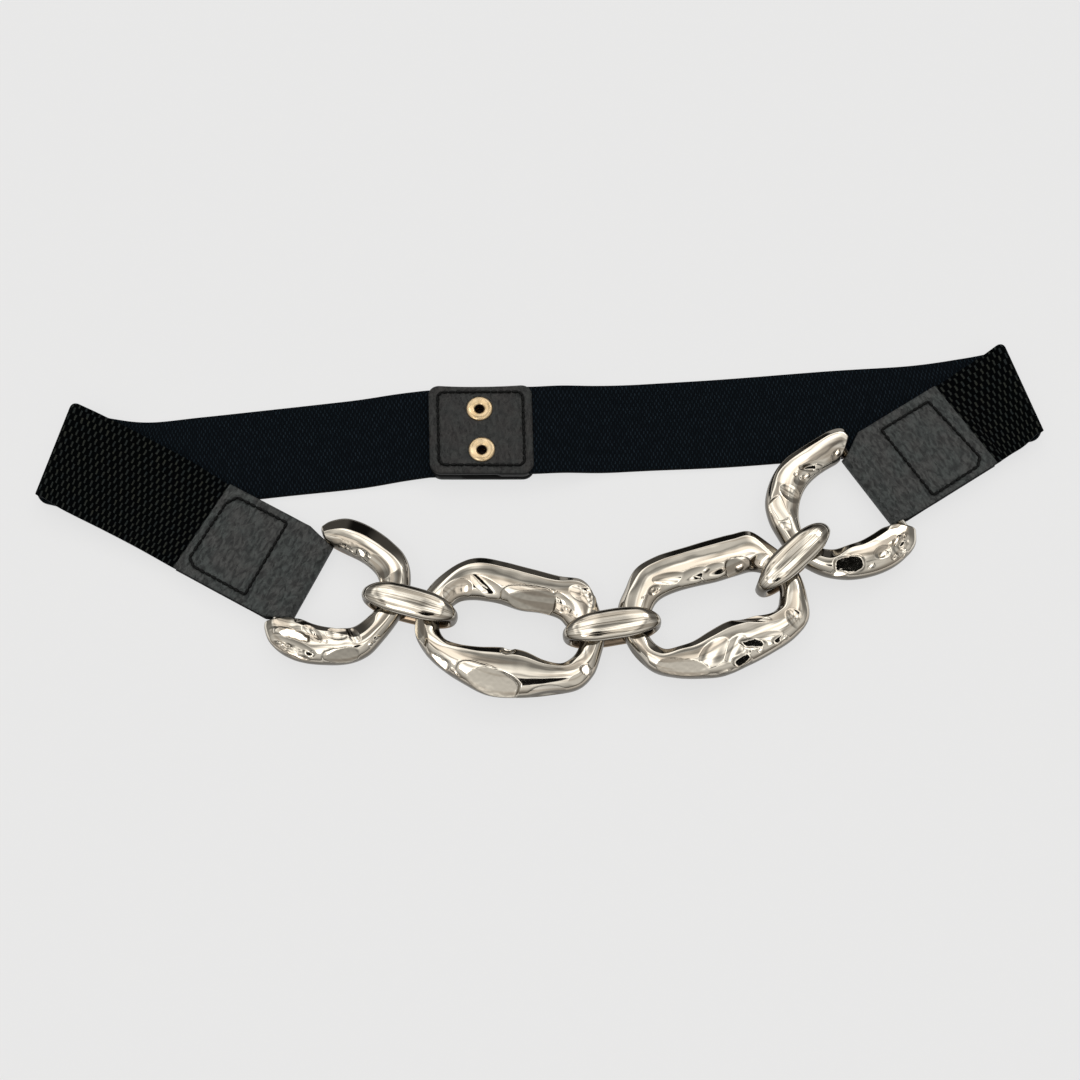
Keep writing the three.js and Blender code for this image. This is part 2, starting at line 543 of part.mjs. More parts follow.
// Side view from the pocket's mouth at x = 0 inwards; faceZ is the flat outer face, inward its normal.
function snapTabProfile(faceZ, inward) {
  const open = 2 * LEATHER + 2 * GAP + ELASTIC_THICKNESS;
  const outside = -LEAF_WIDTH / 2;
  const pocketEnd = SNAP_TAB_POCKET + GAP;
  const points = [
    [outside, 0], [LEAF_WIDTH, 0], [LEAF_WIDTH, SNAP_TAB.thickness],
    [SNAP_TAB_POCKET + SNAP_TAB_TAPER, SNAP_TAB.thickness], [SNAP_TAB_POCKET, open],
    [outside, open], [outside, open - LEATHER], [pocketEnd, open - LEATHER],
    [pocketEnd, LEATHER], [outside, LEATHER],
  ];
  return new THREE.Shape(points.map(([x, depth]) => new THREE.Vector2(x, faceZ + inward * depth)));
}

// The tab on top takes the right band, and the tab beneath takes the left band.
const SNAP_TABS = [
  { name: "snap_tab_inner", faceZ: SNAP_TAB.innerTop, inward: -1, mouthX: -2.8, direction: -1 },
  { name: "snap_tab_outer", faceZ: SNAP_TAB.outerBottom, inward: 1, mouthX: -43.8, direction: 1 },
];

function snapTab({ name, faceZ, inward, mouthX, direction }) {
  const profile = snapTabProfile(faceZ, inward);
  const leaf = new THREE.ExtrudeGeometry(profile, { depth: LEAF_WIDTH, bevelEnabled: false });
  leaf.rotateX(Math.PI / 2).translate(0, LEAF_WIDTH, 0).scale(direction, 1, 1).translate(mouthX, 0, 0);
  let solid = toSolid(leaf).intersect(prism(roundedOutline(SNAP_TAB_CORNERS, SNAP_TAB.cornerRadius)));
  for (const snap of Object.values(SNAPS)) {
    const radius = SNAP.barrelRadius + SNAP.clearance;
    const hole = new THREE.CylinderGeometry(radius, radius, CUTTER_HEIGHT, SNAP_SIDES).rotateX(Math.PI / 2);
    solid = solid.subtract(toSolid(hole.translate(snap.x, snap.y, 0)));
  }
  return namedMesh(name, toGeometry(solid), LEATHER_BLACK);
}

// Snaps: turned rings. The socket's eyelet shows on top, the stud's cap is underneath.
function turned(name, profile, snap) {
  const points = [...profile, profile[0]].map(([radius, z]) => new THREE.Vector2(radius, z));
  const geometry = new THREE.LatheGeometry(points, SNAP_SIDES);
  geometry.rotateX(Math.PI / 2).translate(snap.x, snap.y, 0);
  return namedMesh(name, toGeometry(toSolid(geometry)), PALE_GOLD);
}

function snapSocket(name, snap) {
  const { flangeRadius, holeRadius, barrelRadius, clearance, crown, rim, roundOff, plate } = SNAP;
  const top = SNAP_TAB.innerTop + clearance;
  const bottom = SNAP_TAB.innerTop - SNAP_TAB.thickness - clearance;
  return turned(name, [
    [holeRadius, top + rim], [holeRadius + roundOff, top + crown], [flangeRadius - roundOff, top + crown],
    [flangeRadius, top + rim], [flangeRadius, top], [barrelRadius, top], [barrelRadius, bottom],
    [flangeRadius, bottom], [flangeRadius, bottom - plate], [holeRadius + roundOff, bottom - plate],
    [holeRadius, bottom],
  ], snap);
}

function snapStud(name, snap) {
  const { flangeRadius, barrelRadius, clearance, rim, roundOff, postRadius, postHeight } = SNAP;
  const capTop = SNAP_TAB.outerBottom - clearance;
  const top = SNAP_TAB.outerBottom + SNAP_TAB.thickness + clearance;
  return turned(name, [
    [0, 0], [flangeRadius - roundOff, 0], [flangeRadius, rim], [flangeRadius, capTop],
    [barrelRadius, capTop], [barrelRadius, top], [flangeRadius - roundOff, top],
    [flangeRadius - roundOff, top + rim], [postRadius, top + rim], [postRadius, top + postHeight],
    [0, top + postHeight],
  ], snap);
}

// Assembly
const belt = new THREE.Group();
const sides = [
  { side: "left", endRows: END_LINK_LEFT, bigRows: BIG_LINK_LEFT, band: BAND_LEFT },
  { side: "right", endRows: END_LINK_RIGHT, bigRows: BIG_LINK_RIGHT, band: BAND_RIGHT },
];

for (const { side, endRows, bigRows, band } of sides) {
  const end = ENDS[side];
  const group = new THREE.Group();
  group.position.set(end.x, end.y, 0);
  group.rotation.z = radians(end.turn);
  group.add(leatherTab(`leather_tab_${side}`, TABS[side], end));
  group.add(endLink(`end_link_${side}`, endRows, end));
  belt.add(group);
  belt.add(elasticBand(`elastic_band_${side}`, band, end, TABS[side]));
  belt.add(bigLink(`big_link_${side}`, bigRows, BIG_LINK_PLACES[side]));
}

for (const [where, place] of Object.entries(CONNECTOR_PLACES)) {
  belt.add(connector(`connector_${where}`, place));
}
for (const tab of SNAP_TABS) {
  belt.add(snapTab(tab));
}
for (const [where, snap] of Object.entries(SNAPS)) {
  belt.add(snapSocket(`snap_socket_${where}`, snap));
  belt.add(snapStud(`snap_stud_${where}`, snap));
}

belt.position.set(-LAYOUT_CENTRE.x, -LAYOUT_CENTRE.y, 0);

export default belt;
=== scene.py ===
# A chain belt that lies fastened on a flat surface, dressed for a render: hammered nickel links,
# upright connector rings, woven elastic, sewn leather tabs and two snaps.
# Places and sizes are in millimetres in the belt's plan layout, with the surface at height 0.
# A finished piece is moved and scaled into the frame, which is in metres.

import functools
import math

import bmesh
import bpy
import numpy as np
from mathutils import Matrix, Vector, noise


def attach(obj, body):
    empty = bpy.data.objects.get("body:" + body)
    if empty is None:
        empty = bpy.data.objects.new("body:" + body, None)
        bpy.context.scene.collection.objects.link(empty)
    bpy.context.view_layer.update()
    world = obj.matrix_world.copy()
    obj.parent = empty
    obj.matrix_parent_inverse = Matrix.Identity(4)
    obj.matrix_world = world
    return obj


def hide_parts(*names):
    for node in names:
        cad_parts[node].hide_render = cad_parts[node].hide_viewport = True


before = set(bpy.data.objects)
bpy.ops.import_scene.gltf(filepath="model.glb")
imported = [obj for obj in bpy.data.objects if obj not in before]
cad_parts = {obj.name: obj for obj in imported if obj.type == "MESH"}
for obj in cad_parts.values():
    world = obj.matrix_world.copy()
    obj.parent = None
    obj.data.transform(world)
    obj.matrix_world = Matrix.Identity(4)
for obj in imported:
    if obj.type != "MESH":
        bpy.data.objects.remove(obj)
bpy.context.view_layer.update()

# Driving sizes
MM = 0.001
LAYOUT_CENTRE = np.array((1.57, 8.95, 0.0))
ELASTIC_THICKNESS = 1.6
LEATHER = 1.1
GAP = 0.25
POCKET_HALF = ELASTIC_THICKNESS / 2 + GAP + LEATHER
FOLD_HEIGHT = 8.5
BAR_RADIUS = 1.9
BAR_HALF_LENGTH = 20
LINK_BASE = 4.85
LINK_HEIGHT = 9.0
CONNECTOR = {
    "height": 17.6, "thickness": 4, "end_thickness": 2.9, "top_width": 11.4, "bottom_width": 9,
    "tip_width": 4.6, "swell": 2.1, "squareness": 3.0, "open_squareness": 4,
    "wave_depth": 0.1, "wave_size": 5.0,
}
SNAP_TAB = {
    "inner_top": 8.2, "outer_bottom": 0.9, "thickness": 2.6, "corner_radius": 4.5, "size": 40.0,
    "pocket": 12, "taper": 2.2, "stitch_inset": 3.5, "stitch_cut": 1.6,
}

# The two ends: the middle of the end link's bar, the angle of the chain's direction, the sign of x on
# the way to the chain, the bar's height and the height of the arms' tips
ENDS = {
    "left": {"at": (-89.45, -16.83), "turn": -28.6, "to_chain": 1, "bar_z": 4.5, "arm_base": 0.3},
    "right": {"at": (129.7, 19.3), "turn": 32.3, "to_chain": -1, "bar_z": 5.5, "arm_base": 1.95},
}
BIG_LINK_PLACES = {
    "left": {"at": (-11.5, -39.0), "turn": -9},
    "right": {"at": (65.5, -31.0), "turn": 17},
}
CONNECTOR_PLACES = {
    "left": {"at": (-48.8, -30.1), "turn": -15.1, "length": 37.2},
    "middle": {"at": (26.8, -39.0), "turn": 9, "length": 37.2},
    "right": {"at": (95.9, -11.6), "turn": 43.3, "length": 38},
}
SNAPS = {"far": (-24.0, 52.6), "near": (-22.8, 34.8)}

# The camera looks down at the layout's own origin, from in front of the belt.
CAMERA = {"distance": 550.0, "elevation": 68.8, "lens": 47.23, "sensor": 36.0}
CAMERA_RISE = math.radians(CAMERA["elevation"])
CAMERA_WAY = (0.0, -math.cos(CAMERA_RISE), math.sin(CAMERA_RISE))
# Directions of what the metal mirrors: two soft boxes, the dark gap round the camera and the room in
# front of the belt, which is grey above and dim below
SOFT_BOXES = [(-0.34, -0.40, 0.85), (0.5, 0.55, 0.67)]
CAMERA_GAP = (0.0, -0.362, 0.932)
GREY_ROOM = (0.0, -0.695, 0.719)
DIM_ROOM = (0.0, -0.906, 0.423)

# Cast bars of the links, one section across the bar in a row, in the link's own plan:
# outer edge x, outer edge y, inner edge x, inner edge y, crest (0 inner edge, 1 outer edge), height.

BIG_LINK_LEFT = [
    (-34.5, 2.0, -27.2, 1.5, 0.5, 7.9),
    (-33.2, 8.8, -23.6, 4.6, 0.6, 8.6),
    (-29.0, 15.3, -20.2, 8.0, 0.7, 9.3),
    (-22.5, 21.5, -16.2, 9.4, 0.78, 9.6),
    (-15.5, 24.8, -11.5, 9.9, 0.78, 9.8),
    (-5.5, 24.6, -5.0, 9.7, 0.78, 9.6),
    (5.0, 23.5, 3.0, 8.2, 0.78, 9.5),
    (15.0, 22.3, 11.0, 8.3, 0.78, 9.5),
    (24.0, 21.8, 17.5, 7.3, 0.88, 9.4),
    (29.4, 16.6, 21.0, 4.6, 0.9, 9.0),
    (33.0, 10.3, 24.6, 2.3, 0.5, 8.2),
    (35.4, 3.0, 26.8, -1.0, 0.5, 7.9),
    (35.0, -5.0, 26.2, -5.0, 0.5, 8.1),
    (33.4, -12.8, 23.8, -8.8, 0.34, 9.0),
    (28.5, -19.0, 20.6, -11.2, 0.2, 9.5),
    (18.5, -22.5, 14.5, -10.8, 0.2, 9.6),
    (7.5, -25.1, 7.0, -8.7, 0.2, 9.8),
    (-3.5, -26.0, -1.5, -8.6, 0.2, 9.8),
    (-13.0, -23.2, -9.5, -9.7, 0.2, 9.7),
    (-21.5, -19.3, -16.5, -10.0, 0.2, 9.5),
    (-28.5, -14.5, -21.8, -8.6, 0.34, 9.2),
    (-33.3, -8.8, -25.0, -5.5, 0.55, 8.7),
    (-34.8, -3.0, -26.2, -1.8, 0.5, 8.1),
]

BIG_LINK_RIGHT = [
    (-35.8, 2.5, -28.4, 1.5, 0.5, 7.9),
    (-34.6, 10.5, -24.2, 4.8, 0.6, 8.6),
    (-29.5, 17.0, -20.8, 8.3, 0.7, 9.3),
    (-23.8, 22.6, -17.0, 10.2, 0.78, 9.6),
    (-15.5, 24.9, -11.5, 10.9, 0.78, 9.7),
    (-5.0, 25.3, -5.0, 10.8, 0.78, 9.6),
    (6.0, 25.5, 4.0, 10.2, 0.78, 9.6),
    (15.0, 25.2, 12.0, 10.3, 0.78, 9.6),
    (22.3, 24.2, 18.5, 10.1, 0.78, 9.4),
    (28.3, 17.8, 22.8, 7.9, 0.62, 8.6),
    (33.0, 10.5, 25.6, 4.4, 0.5, 7.9),
    (34.9, 2.0, 26.1, 0.5, 0.45, 8.3),
    (34.3, -6.0, 24.6, -3.4, 0.4, 9.0),
    (31.8, -14.2, 22.0, -7.2, 0.34, 9.4),
    (24.5, -19.3, 17.0, -8.7, 0.2, 9.6),
    (14.5, -22.3, 9.5, -7.7, 0.2, 9.7),
    (5.0, -24.3, 2.0, -7.3, 0.2, 9.8),
    (-5.0, -25.3, -5.5, -8.9, 0.2, 9.8),
    (-14.0, -23.6, -12.5, -10.8, 0.2, 9.6),
    (-22.5, -20.8, -18.5, -11.0, 0.2, 9.4),
    (-29.5, -16.5, -23.2, -10.2, 0.34, 9.0),
    (-33.8, -9.5, -26.0, -6.9, 0.5, 8.5),
    (-35.6, -3.0, -27.4, -2.6, 0.5, 8.0),
]

END_LINK_LEFT = [
    (-5.4, 19.2, -0.4, 15.6, 0.5, 7.6),
    (-3.3, 23.8, 3.0, 15.5, 0.5, 8.0),
    (1.7, 27.6, 6.6, 15.4, 0.54, 8.3),
    (8.2, 28.7, 11.7, 15.4, 0.56, 8.6),
    (15.7, 28.3, 15.7, 15.2, 0.58, 8.8),
    (23.2, 26.7, 20.2, 14.4, 0.6, 8.8),
    (29.7, 24.4, 24.7, 12.6, 0.62, 8.7),
    (34.7, 20.3, 28.2, 9.9, 0.62, 8.4),
    (38.2, 14.2, 30.8, 6.4, 0.5, 8.0),
    (40.4, 7.3, 31.8, 2.8, 0.5, 7.9),
    (40.8, 0.5, 31.4, -1.0, 0.5, 8.1),
    (40.0, -7.5, 30.1, -5.2, 0.5, 8.5),
    (38.0, -15.8, 27.7, -9.8, 0.45, 8.8),
    (33.2, -21.9, 23.7, -13.0, 0.2, 9.0),
    (25.7, -26.3, 19.0, -14.7, 0.2, 9.0),
    (17.7, -29.4, 14.2, -15.7, 0.2, 8.9),
    (9.5, -30.2, 10.0, -16.0, 0.2, 8.6),
    (2.6, -28.6, 8.0, -16.2, 0.2, 8.3),
    (-1.9, -25.2, 6.0, -16.8, 0.2, 7.9),
    (-3.8, -22.2, 4.2, -17.5, 0.2, 7.5),
]

END_LINK_RIGHT = [
    (-4.7, 22.0, 2.8, 16.8, 0.8, 7.6),
    (-3.6, 26.4, 5.5, 16.2, 0.8, 8.0),
    (1.5, 28.0, 8.0, 16.1, 0.8, 8.3),
    (8.5, 27.9, 11.5, 16.0, 0.8, 8.6),
    (16.5, 27.5, 16.0, 15.6, 0.8, 8.8),
    (24.0, 26.8, 21.0, 14.5, 0.8, 8.9),
    (30.5, 24.4, 25.5, 12.4, 0.8, 8.9),
    (36.0, 20.7, 29.5, 9.3, 0.7, 8.8),
    (40.5, 15.8, 32.5, 5.7, 0.7, 8.6),
    (43.3, 9.5, 34.6, 1.8, 0.5, 8.3),
    (44.3, 2.5, 35.6, -1.8, 0.5, 8.0),
    (44.4, -4.0, 35.6, -5.2, 0.5, 7.9),
    (42.8, -12.0, 33.6, -9.6, 0.5, 8.0),
    (38.5, -19.7, 29.8, -12.9, 0.5, 8.6),
    (31.5, -25.5, 25.0, -15.1, 0.2, 9.0),
    (23.0, -29.0, 19.5, -16.1, 0.2, 9.1),
    (14.5, -30.3, 14.0, -16.2, 0.2, 9.0),
    (7.0, -29.6, 9.5, -16.0, 0.2, 8.6),
    (0.8, -27.4, 6.8, -16.2, 0.2, 8.2),
    (-3.9, -21.6, 3.4, -16.9, 0.2, 7.6),
]

# Small helpers
WELD = 0.002
TINY = 1e-12


def linear(colour):
    """An sRGB hex colour as linear red, green, blue and alpha."""
    channels = [int(colour[i:i + 2], 16) / 255 for i in (1, 3, 5)]
    return [c / 12.92 if c <= 0.04045 else ((c + 0.055) / 1.055) ** 2.4 for c in channels] + [1.0]


def mix(a, b, share):
    return a + (b - a) * share


def smooth_step(low, high, value):
    t = np.clip((value - low) / (high - low), 0, 1)
    return t * t * (3 - 2 * t)


def turned_plan(x, y, degrees):
    angle = math.radians(degrees)
    return x * math.cos(angle) - y * math.sin(angle), x * math.sin(angle) + y * math.cos(angle)


def placed(points, at, degrees):
    """Points of a piece's own plan, turned and moved to their place in the layout."""
    x, y = turned_plan(points[:, 0], points[:, 1], degrees)
    return np.column_stack((x + at[0], y + at[1], points[:, 2]))


def from_end(side, points):
    """Points as seen from the middle of an end's bar, with x toward the chain, in the layout."""
    end = ENDS[side]
    return placed(np.array(points) * (end["to_chain"], 1, 1), end["at"], end["turn"])


def smooth_curve(rows, t, closed=False):
    """Points at t from 0 to 1 on a Catmull-Rom curve through rows of numbers."""
    rows = np.asarray(rows, float)
    if closed:
        padded = np.vstack((rows[-1:], rows, rows[:2]))
    else:
        padded = np.vstack((2 * rows[:1] - rows[1:2], rows, 2 * rows[-1:] - rows[-2:-1]))
    spans = len(padded) - 3
    place = np.clip(t, 0, 1) * spans
    start = np.minimum(place.astype(int), spans - 1)
    f = (place - start)[:, None]
    before, here, there, after = (padded[start + k] for k in range(4))
    leave, arrive = (there - before) / 2, (after - here) / 2
    bend = (2 * (here - there) + leave + arrive) * f + 3 * (there - here) - 2 * leave - arrive
    return (bend * f + leave) * f + here


def distances(points):
    """How far each point of a line lies from its start, along the line."""
    return np.concatenate(([0], np.cumsum(np.linalg.norm(np.diff(points, axis=0), axis=1))))


def looked_up(at, places, rows):
    """Rows of a table at places between its own."""
    return np.column_stack([np.interp(at, places, column) for column in rows.T])


def even_line(points, count):
    """The same line through count points at even distances."""
    along = distances(points)
    return looked_up(np.linspace(0, along[-1], count), along, np.array(points, float))


def wavy(points, size, seed):
    """Smooth random values of about -1 to 1, whose waves are about size mm long."""
    offset = Vector((seed * 31.7, seed * 17.3, seed * 7.9))
    return np.array([noise.noise(Vector(p) / size + offset) for p in points])


def grid_mesh(columns, rows, shape):
    """A grid of faces whose points go to shape(u, v), for u along the columns and v along the rows.

    Edges that meet are welded, which closes loops, tubes and poles."""
    mesh = bmesh.new()
    mesh.loops.layers.uv.new("UVMap")
    bmesh.ops.create_grid(mesh, x_segments=columns, y_segments=rows, size=0.5, calc_uvs=True)
    flat = np.array([vert.co[:2] for vert in mesh.verts]) + 0.5
    for vert, point in zip(mesh.verts, shape(flat[:, 0], flat[:, 1])):
        vert.co = point
    bmesh.ops.remove_doubles(mesh, verts=mesh.verts, dist=WELD)
    bmesh.ops.recalc_face_normals(mesh, faces=mesh.faces)
    return mesh


def finished(name, mesh, materials, replaced=()):
    """Puts a mesh in mm into the frame as a piece with its materials and body, and hides the nodes that it
    replaces.
    """
    for vert in mesh.verts:
        vert.co = (vert.co - Vector(LAYOUT_CENTRE)) * MM
    data = bpy.data.meshes.new(name)
    mesh.to_mesh(data)
    mesh.free()
    data.polygons.foreach_set("use_smooth", [True] * len(data.polygons))
    piece = bpy.data.objects.new(name, data)
    bpy.context.collection.objects.link(piece)
    for material in materials:
        data.materials.append(material)
    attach(piece, "root")
    if replaced:
        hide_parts(*replaced)
    return piece

# Cast links
FOOT_INSET = 0.14
WALL_LOW, WALL_HIGH = 0.2, 0.68
# Sides that face away from the camera by more than these shares are ground to a flat bevel, which falls
# this many mm a mm. The other sides are soft crowns.
BEVEL_FACING = (0.35, 0.75)
BEVEL_FALL = 0.53
BEVEL_EDGE = 0.12
SOFT_SHOULDER_UP = 0.86
SOFT_SHOULDER = 0.26
CREST_HALF_WIDTHS = {"bevel": 0.02, "soft": 0.14}
# Two corners between shoulder and rim: how far along they lie on a bevel and on a soft crown, and how far
# up on a soft crown
SLOPE_CORNERS = [(0.08, 0.3, 0.5), (0.92, 0.6, 0.82)]
# The rounded section lies a little inside its corners, which this makes good.
OVERSIZE = {"across": 1.045, "up": 1.02}
END_LEAN = {"low_x": -6, "high_x": 31}
ARM_CAP = 1.6
NORMAL_STEP = 1e-4


def closed_spline(corners, v):
    """Points at v on a smooth closed curve that rounds off the corners, one set of corners a row."""
    count = corners.shape[1]
    place = (v % 1) * count
    start = place.astype(int)
    f = place - start
    weights = ((1 - f) ** 3, 3 * f ** 3 - 6 * f ** 2 + 4, -3 * f ** 3 + 3 * f ** 2 + 3 * f + 1, f ** 3)
    row = np.arange(len(v))
    return sum(w[:, None] * corners[row, (start + k - 1) % count] for k, w in enumerate(weights)) / 6


def cast_corners(crest, width, height, far_facing):
    """Corners of cast sections as shares across and up, from the inner foot round by the outside."""
    def side(edge, sign):
        own = np.abs(edge - crest) * width
        soft = 1 - smooth_step(*BEVEL_FACING, sign * far_facing)
        shoulder = mix(edge, crest, mix(BEVEL_EDGE, SOFT_SHOULDER, soft))
        shoulder_up = mix(1 - BEVEL_FALL * own / height, SOFT_SHOULDER_UP, soft)
        rim = crest + sign * mix(CREST_HALF_WIDTHS["bevel"], CREST_HALF_WIDTHS["soft"], soft)
        wall_high = mix(shoulder_up - BEVEL_EDGE, WALL_HIGH, soft)
        slope = []
        for on_bevel, on_soft, soft_up in SLOPE_CORNERS:
            along = mix(on_bevel, on_soft, soft)
            slope.append((mix(shoulder, rim, along), mix(shoulder_up, 1, mix(along, soft_up, soft))))
        return [(edge - sign * FOOT_INSET, 0), (edge, WALL_LOW), (edge, wall_high),
                (shoulder, shoulder_up), *slope, (rim, 1)]
    corners = side(1.0, 1) + side(0.0, -1)[::-1]
    return np.stack([np.column_stack((a + 0 * crest, b + 0 * crest)) for a, b in corners], axis=1)


def cast_surface(rows, closed, base_at, flip, turn):
    """shape(u, v) of a cast bar along a table, in the link's plan, whose x is flipped and then turned."""
    table = np.array(rows)
    length = distances((table[:, 0:2] + table[:, 2:4]) / 2)[-1]

    def shape(u, v):
        row = smooth_curve(table, u, closed)
        outer, inner, crest, height = row[:, 0:2], row[:, 2:4], row[:, 4], row[:, 5]
        across_plan = outer - inner
        width = np.linalg.norm(across_plan, axis=1)
        far_facing = turned_plan(flip * across_plan[:, 0], across_plan[:, 1], turn)[1] / width
        corners = cast_corners(crest, width, height, far_facing)
        profile = closed_spline(corners, v - 0.5 / corners.shape[1])
        across = 0.5 + (profile[:, 0] - 0.5) * OVERSIZE["across"]
        up = profile[:, 1] * OVERSIZE["up"]
        if not closed:
            from_tip = np.minimum(u, 1 - u) * length / ARM_CAP
            shrink = np.sqrt(np.clip(1 - (1 - np.minimum(from_tip, 1)) ** 2, 0, 1))
            across = mix(0.5, across, shrink)
            up = mix(0.5, up, shrink)
        plan = inner + across_plan * across[:, None]
        base = base_at((outer[:, 0] + inner[:, 0]) / 2)
        return np.column_stack((plan, base + up * height))
    return shape


def surface_normals(shape, u, v):
    """Outward directions of a surface by small steps along it."""
    along = shape(np.clip(u + NORMAL_STEP, 0, 1), v) - shape(np.clip(u - NORMAL_STEP, 0, 1), v)
    around = shape(u, v + NORMAL_STEP) - shape(u, v - NORMAL_STEP)
    normal = np.cross(around, along)
    return normal / np.maximum(np.linalg.norm(normal, axis=1, keepdims=True), TINY)


# Hammer marks, in mm in the link's plan. A scoop is a round dent with a crisp rim, a facet cuts away what
# stands over a tilted plane and a pitted patch is uneven.
FACET_PROBE = 0.9
# The slope at a facet's edge, in mm, and the most of the facet's half size that it takes
FACET_WALL = {"width": 0.5, "most_share": 0.5}
FACET_SQUARENESS = 3
# A facet's ragged edge and its roughness are worked out within this many half sizes of its middle.
FACET_REACH = 2
# Small facets have ragged outlines.
RAGGED = {"share": 0.25, "size": 1.7, "full_under": 3.0}
# What each kind of flat mirrors toward the camera
FLATS = {"grey": GREY_ROOM, "black": CAMERA_GAP, "dim": DIM_ROOM, "bright": SOFT_BOXES[0]}
FLAT_DEPTH = {"least": 0.1, "share": 0.12}
# The most that a flat raises the surface, its hollow as a share of its width, and its roughness
FLAT_RAISE = 0.6
FLAT_HOLLOW = 0.02
FLAT_ROUGH = {"depth": 0.045, "size": 1.1}
# Marks fade in between these shares of the link's height.
DENT_FROM_UP = (0.25, 0.5)
WAVES = [{"size": 14.0, "depth": 0.2}, {"size": 4.5, "depth": 0.03}]


def own_plan(points, x, y, turn):
    """Places along and across a mark, from its middle."""
    return turned_plan(points[:, 0] - x, points[:, 1] - y, -turn)


def scoop(points, x, y, length, width, turn, depth):
    own_x, own_y = own_plan(points, x, y, turn)
    away = (2 * own_x / length) ** 2 + (2 * own_y / width) ** 2
    return depth * np.clip(1 - away, 0, None)


def facet(points, x, y, length, width, turn, depth, toward, slope, most_raised=0.0):
    """The plane is depth mm under the surface at its middle and falls by slope mm a mm toward a direction.

    Where most_raised is given, the plane is a flat: hollow, rough, and raised by up to that where it
    stands over the surface."""
    own_x, own_y = own_plan(points, x, y, turn)
    p = FACET_SQUARENESS
    away = (np.abs(2 * own_x / length) ** p + np.abs(2 * own_y / width) ** p) ** (1 / p)
    near = away < FACET_REACH
    ragged = RAGGED["share"] * min(RAGGED["full_under"] / width, 1) ** 2
    away[near] *= 1 + ragged * wavy(points[near], RAGGED["size"], x)
    off_middle = np.hypot(points[:, 0] - x, points[:, 1] - y)
    top = points[off_middle < off_middle.min() + FACET_PROBE, 2].max()
    down = own_plan(points, x, y, toward)[0]
    over = points[:, 2] - (top - depth - slope * down)
    if most_raised:
        over[near] += FLAT_HOLLOW * width * (1 - away[near] ** 2)
        over[near] += FLAT_ROUGH["depth"] * wavy(points[near], FLAT_ROUGH["size"], y)
    over = np.clip(over, -most_raised, None)
    wall = min(2 * FACET_WALL["width"] / min(length, width), FACET_WALL["most_share"])
    return over * (1 - smooth_step(1 - wall, 1, away))


def pitted(points, x, y, length, width, turn, depth, grain):
    own_x, own_y = own_plan(points, x, y, turn)
    away = np.hypot(2 * own_x / length, 2 * own_y / width)
    inside = away < 1
    pits = np.zeros(len(points))
    pits[inside] = wavy(points[inside], grain, x) * (1 - away[inside] ** 3)
    return depth * pits


def mirroring(spot, source):
    """The direction and the slope of a flat at a spot of the layout, which mirrors a direction."""
    to_camera = Vector(CAMERA_WAY) * CAMERA["distance"] - Vector(spot)
    normal = to_camera.normalized() + Vector(source).normalized()
    return math.degrees(math.atan2(normal.y, normal.x)), math.hypot(normal.x, normal.y) / normal.z


def hammered(shape, marks, seed, base_at, flip, at, turn):
    """The same surface with a slightly wavy skin and its hammer marks, which meet in crisp ridges.

    flip, at and turn tell how the link lies in the layout."""
    flats = []
    for kind, source in FLATS.items():
        for x, y, length, width, own_turn in marks.get(kind, ()):
            spot = placed(np.array([(flip * x, y, LINK_HEIGHT)]), at, turn)[0]
            toward, slope = mirroring(spot, source)
            toward = toward - turn if flip > 0 else 180 - toward + turn
            depth = FLAT_DEPTH["least"] + FLAT_DEPTH["share"] * width
            flats.append((x, y, length, width, own_turn, depth, toward, slope, FLAT_RAISE))

    def marked(u, v):
        points = shape(u, v)
        normals = surface_normals(shape, u, v)
        for number, wave in enumerate(WAVES):
            points -= normals * wave["depth"] * wavy(points, wave["size"], seed + number)[:, None]
        upper = smooth_step(*DENT_FROM_UP, (points[:, 2] - base_at(points[:, 0])) / LINK_HEIGHT)
        depth = np.zeros(len(points))
        for settings in marks["scoops"]:
            depth = np.maximum(depth, scoop(points, *settings))
        for settings in marks.get("pitted", ()):
            depth += pitted(points, *settings)
        points -= normals * (depth * upper)[:, None]
        for settings in marks.get("facets", []) + flats:
            points[:, 2] -= facet(points, *settings) * upper
        return points
    return marked


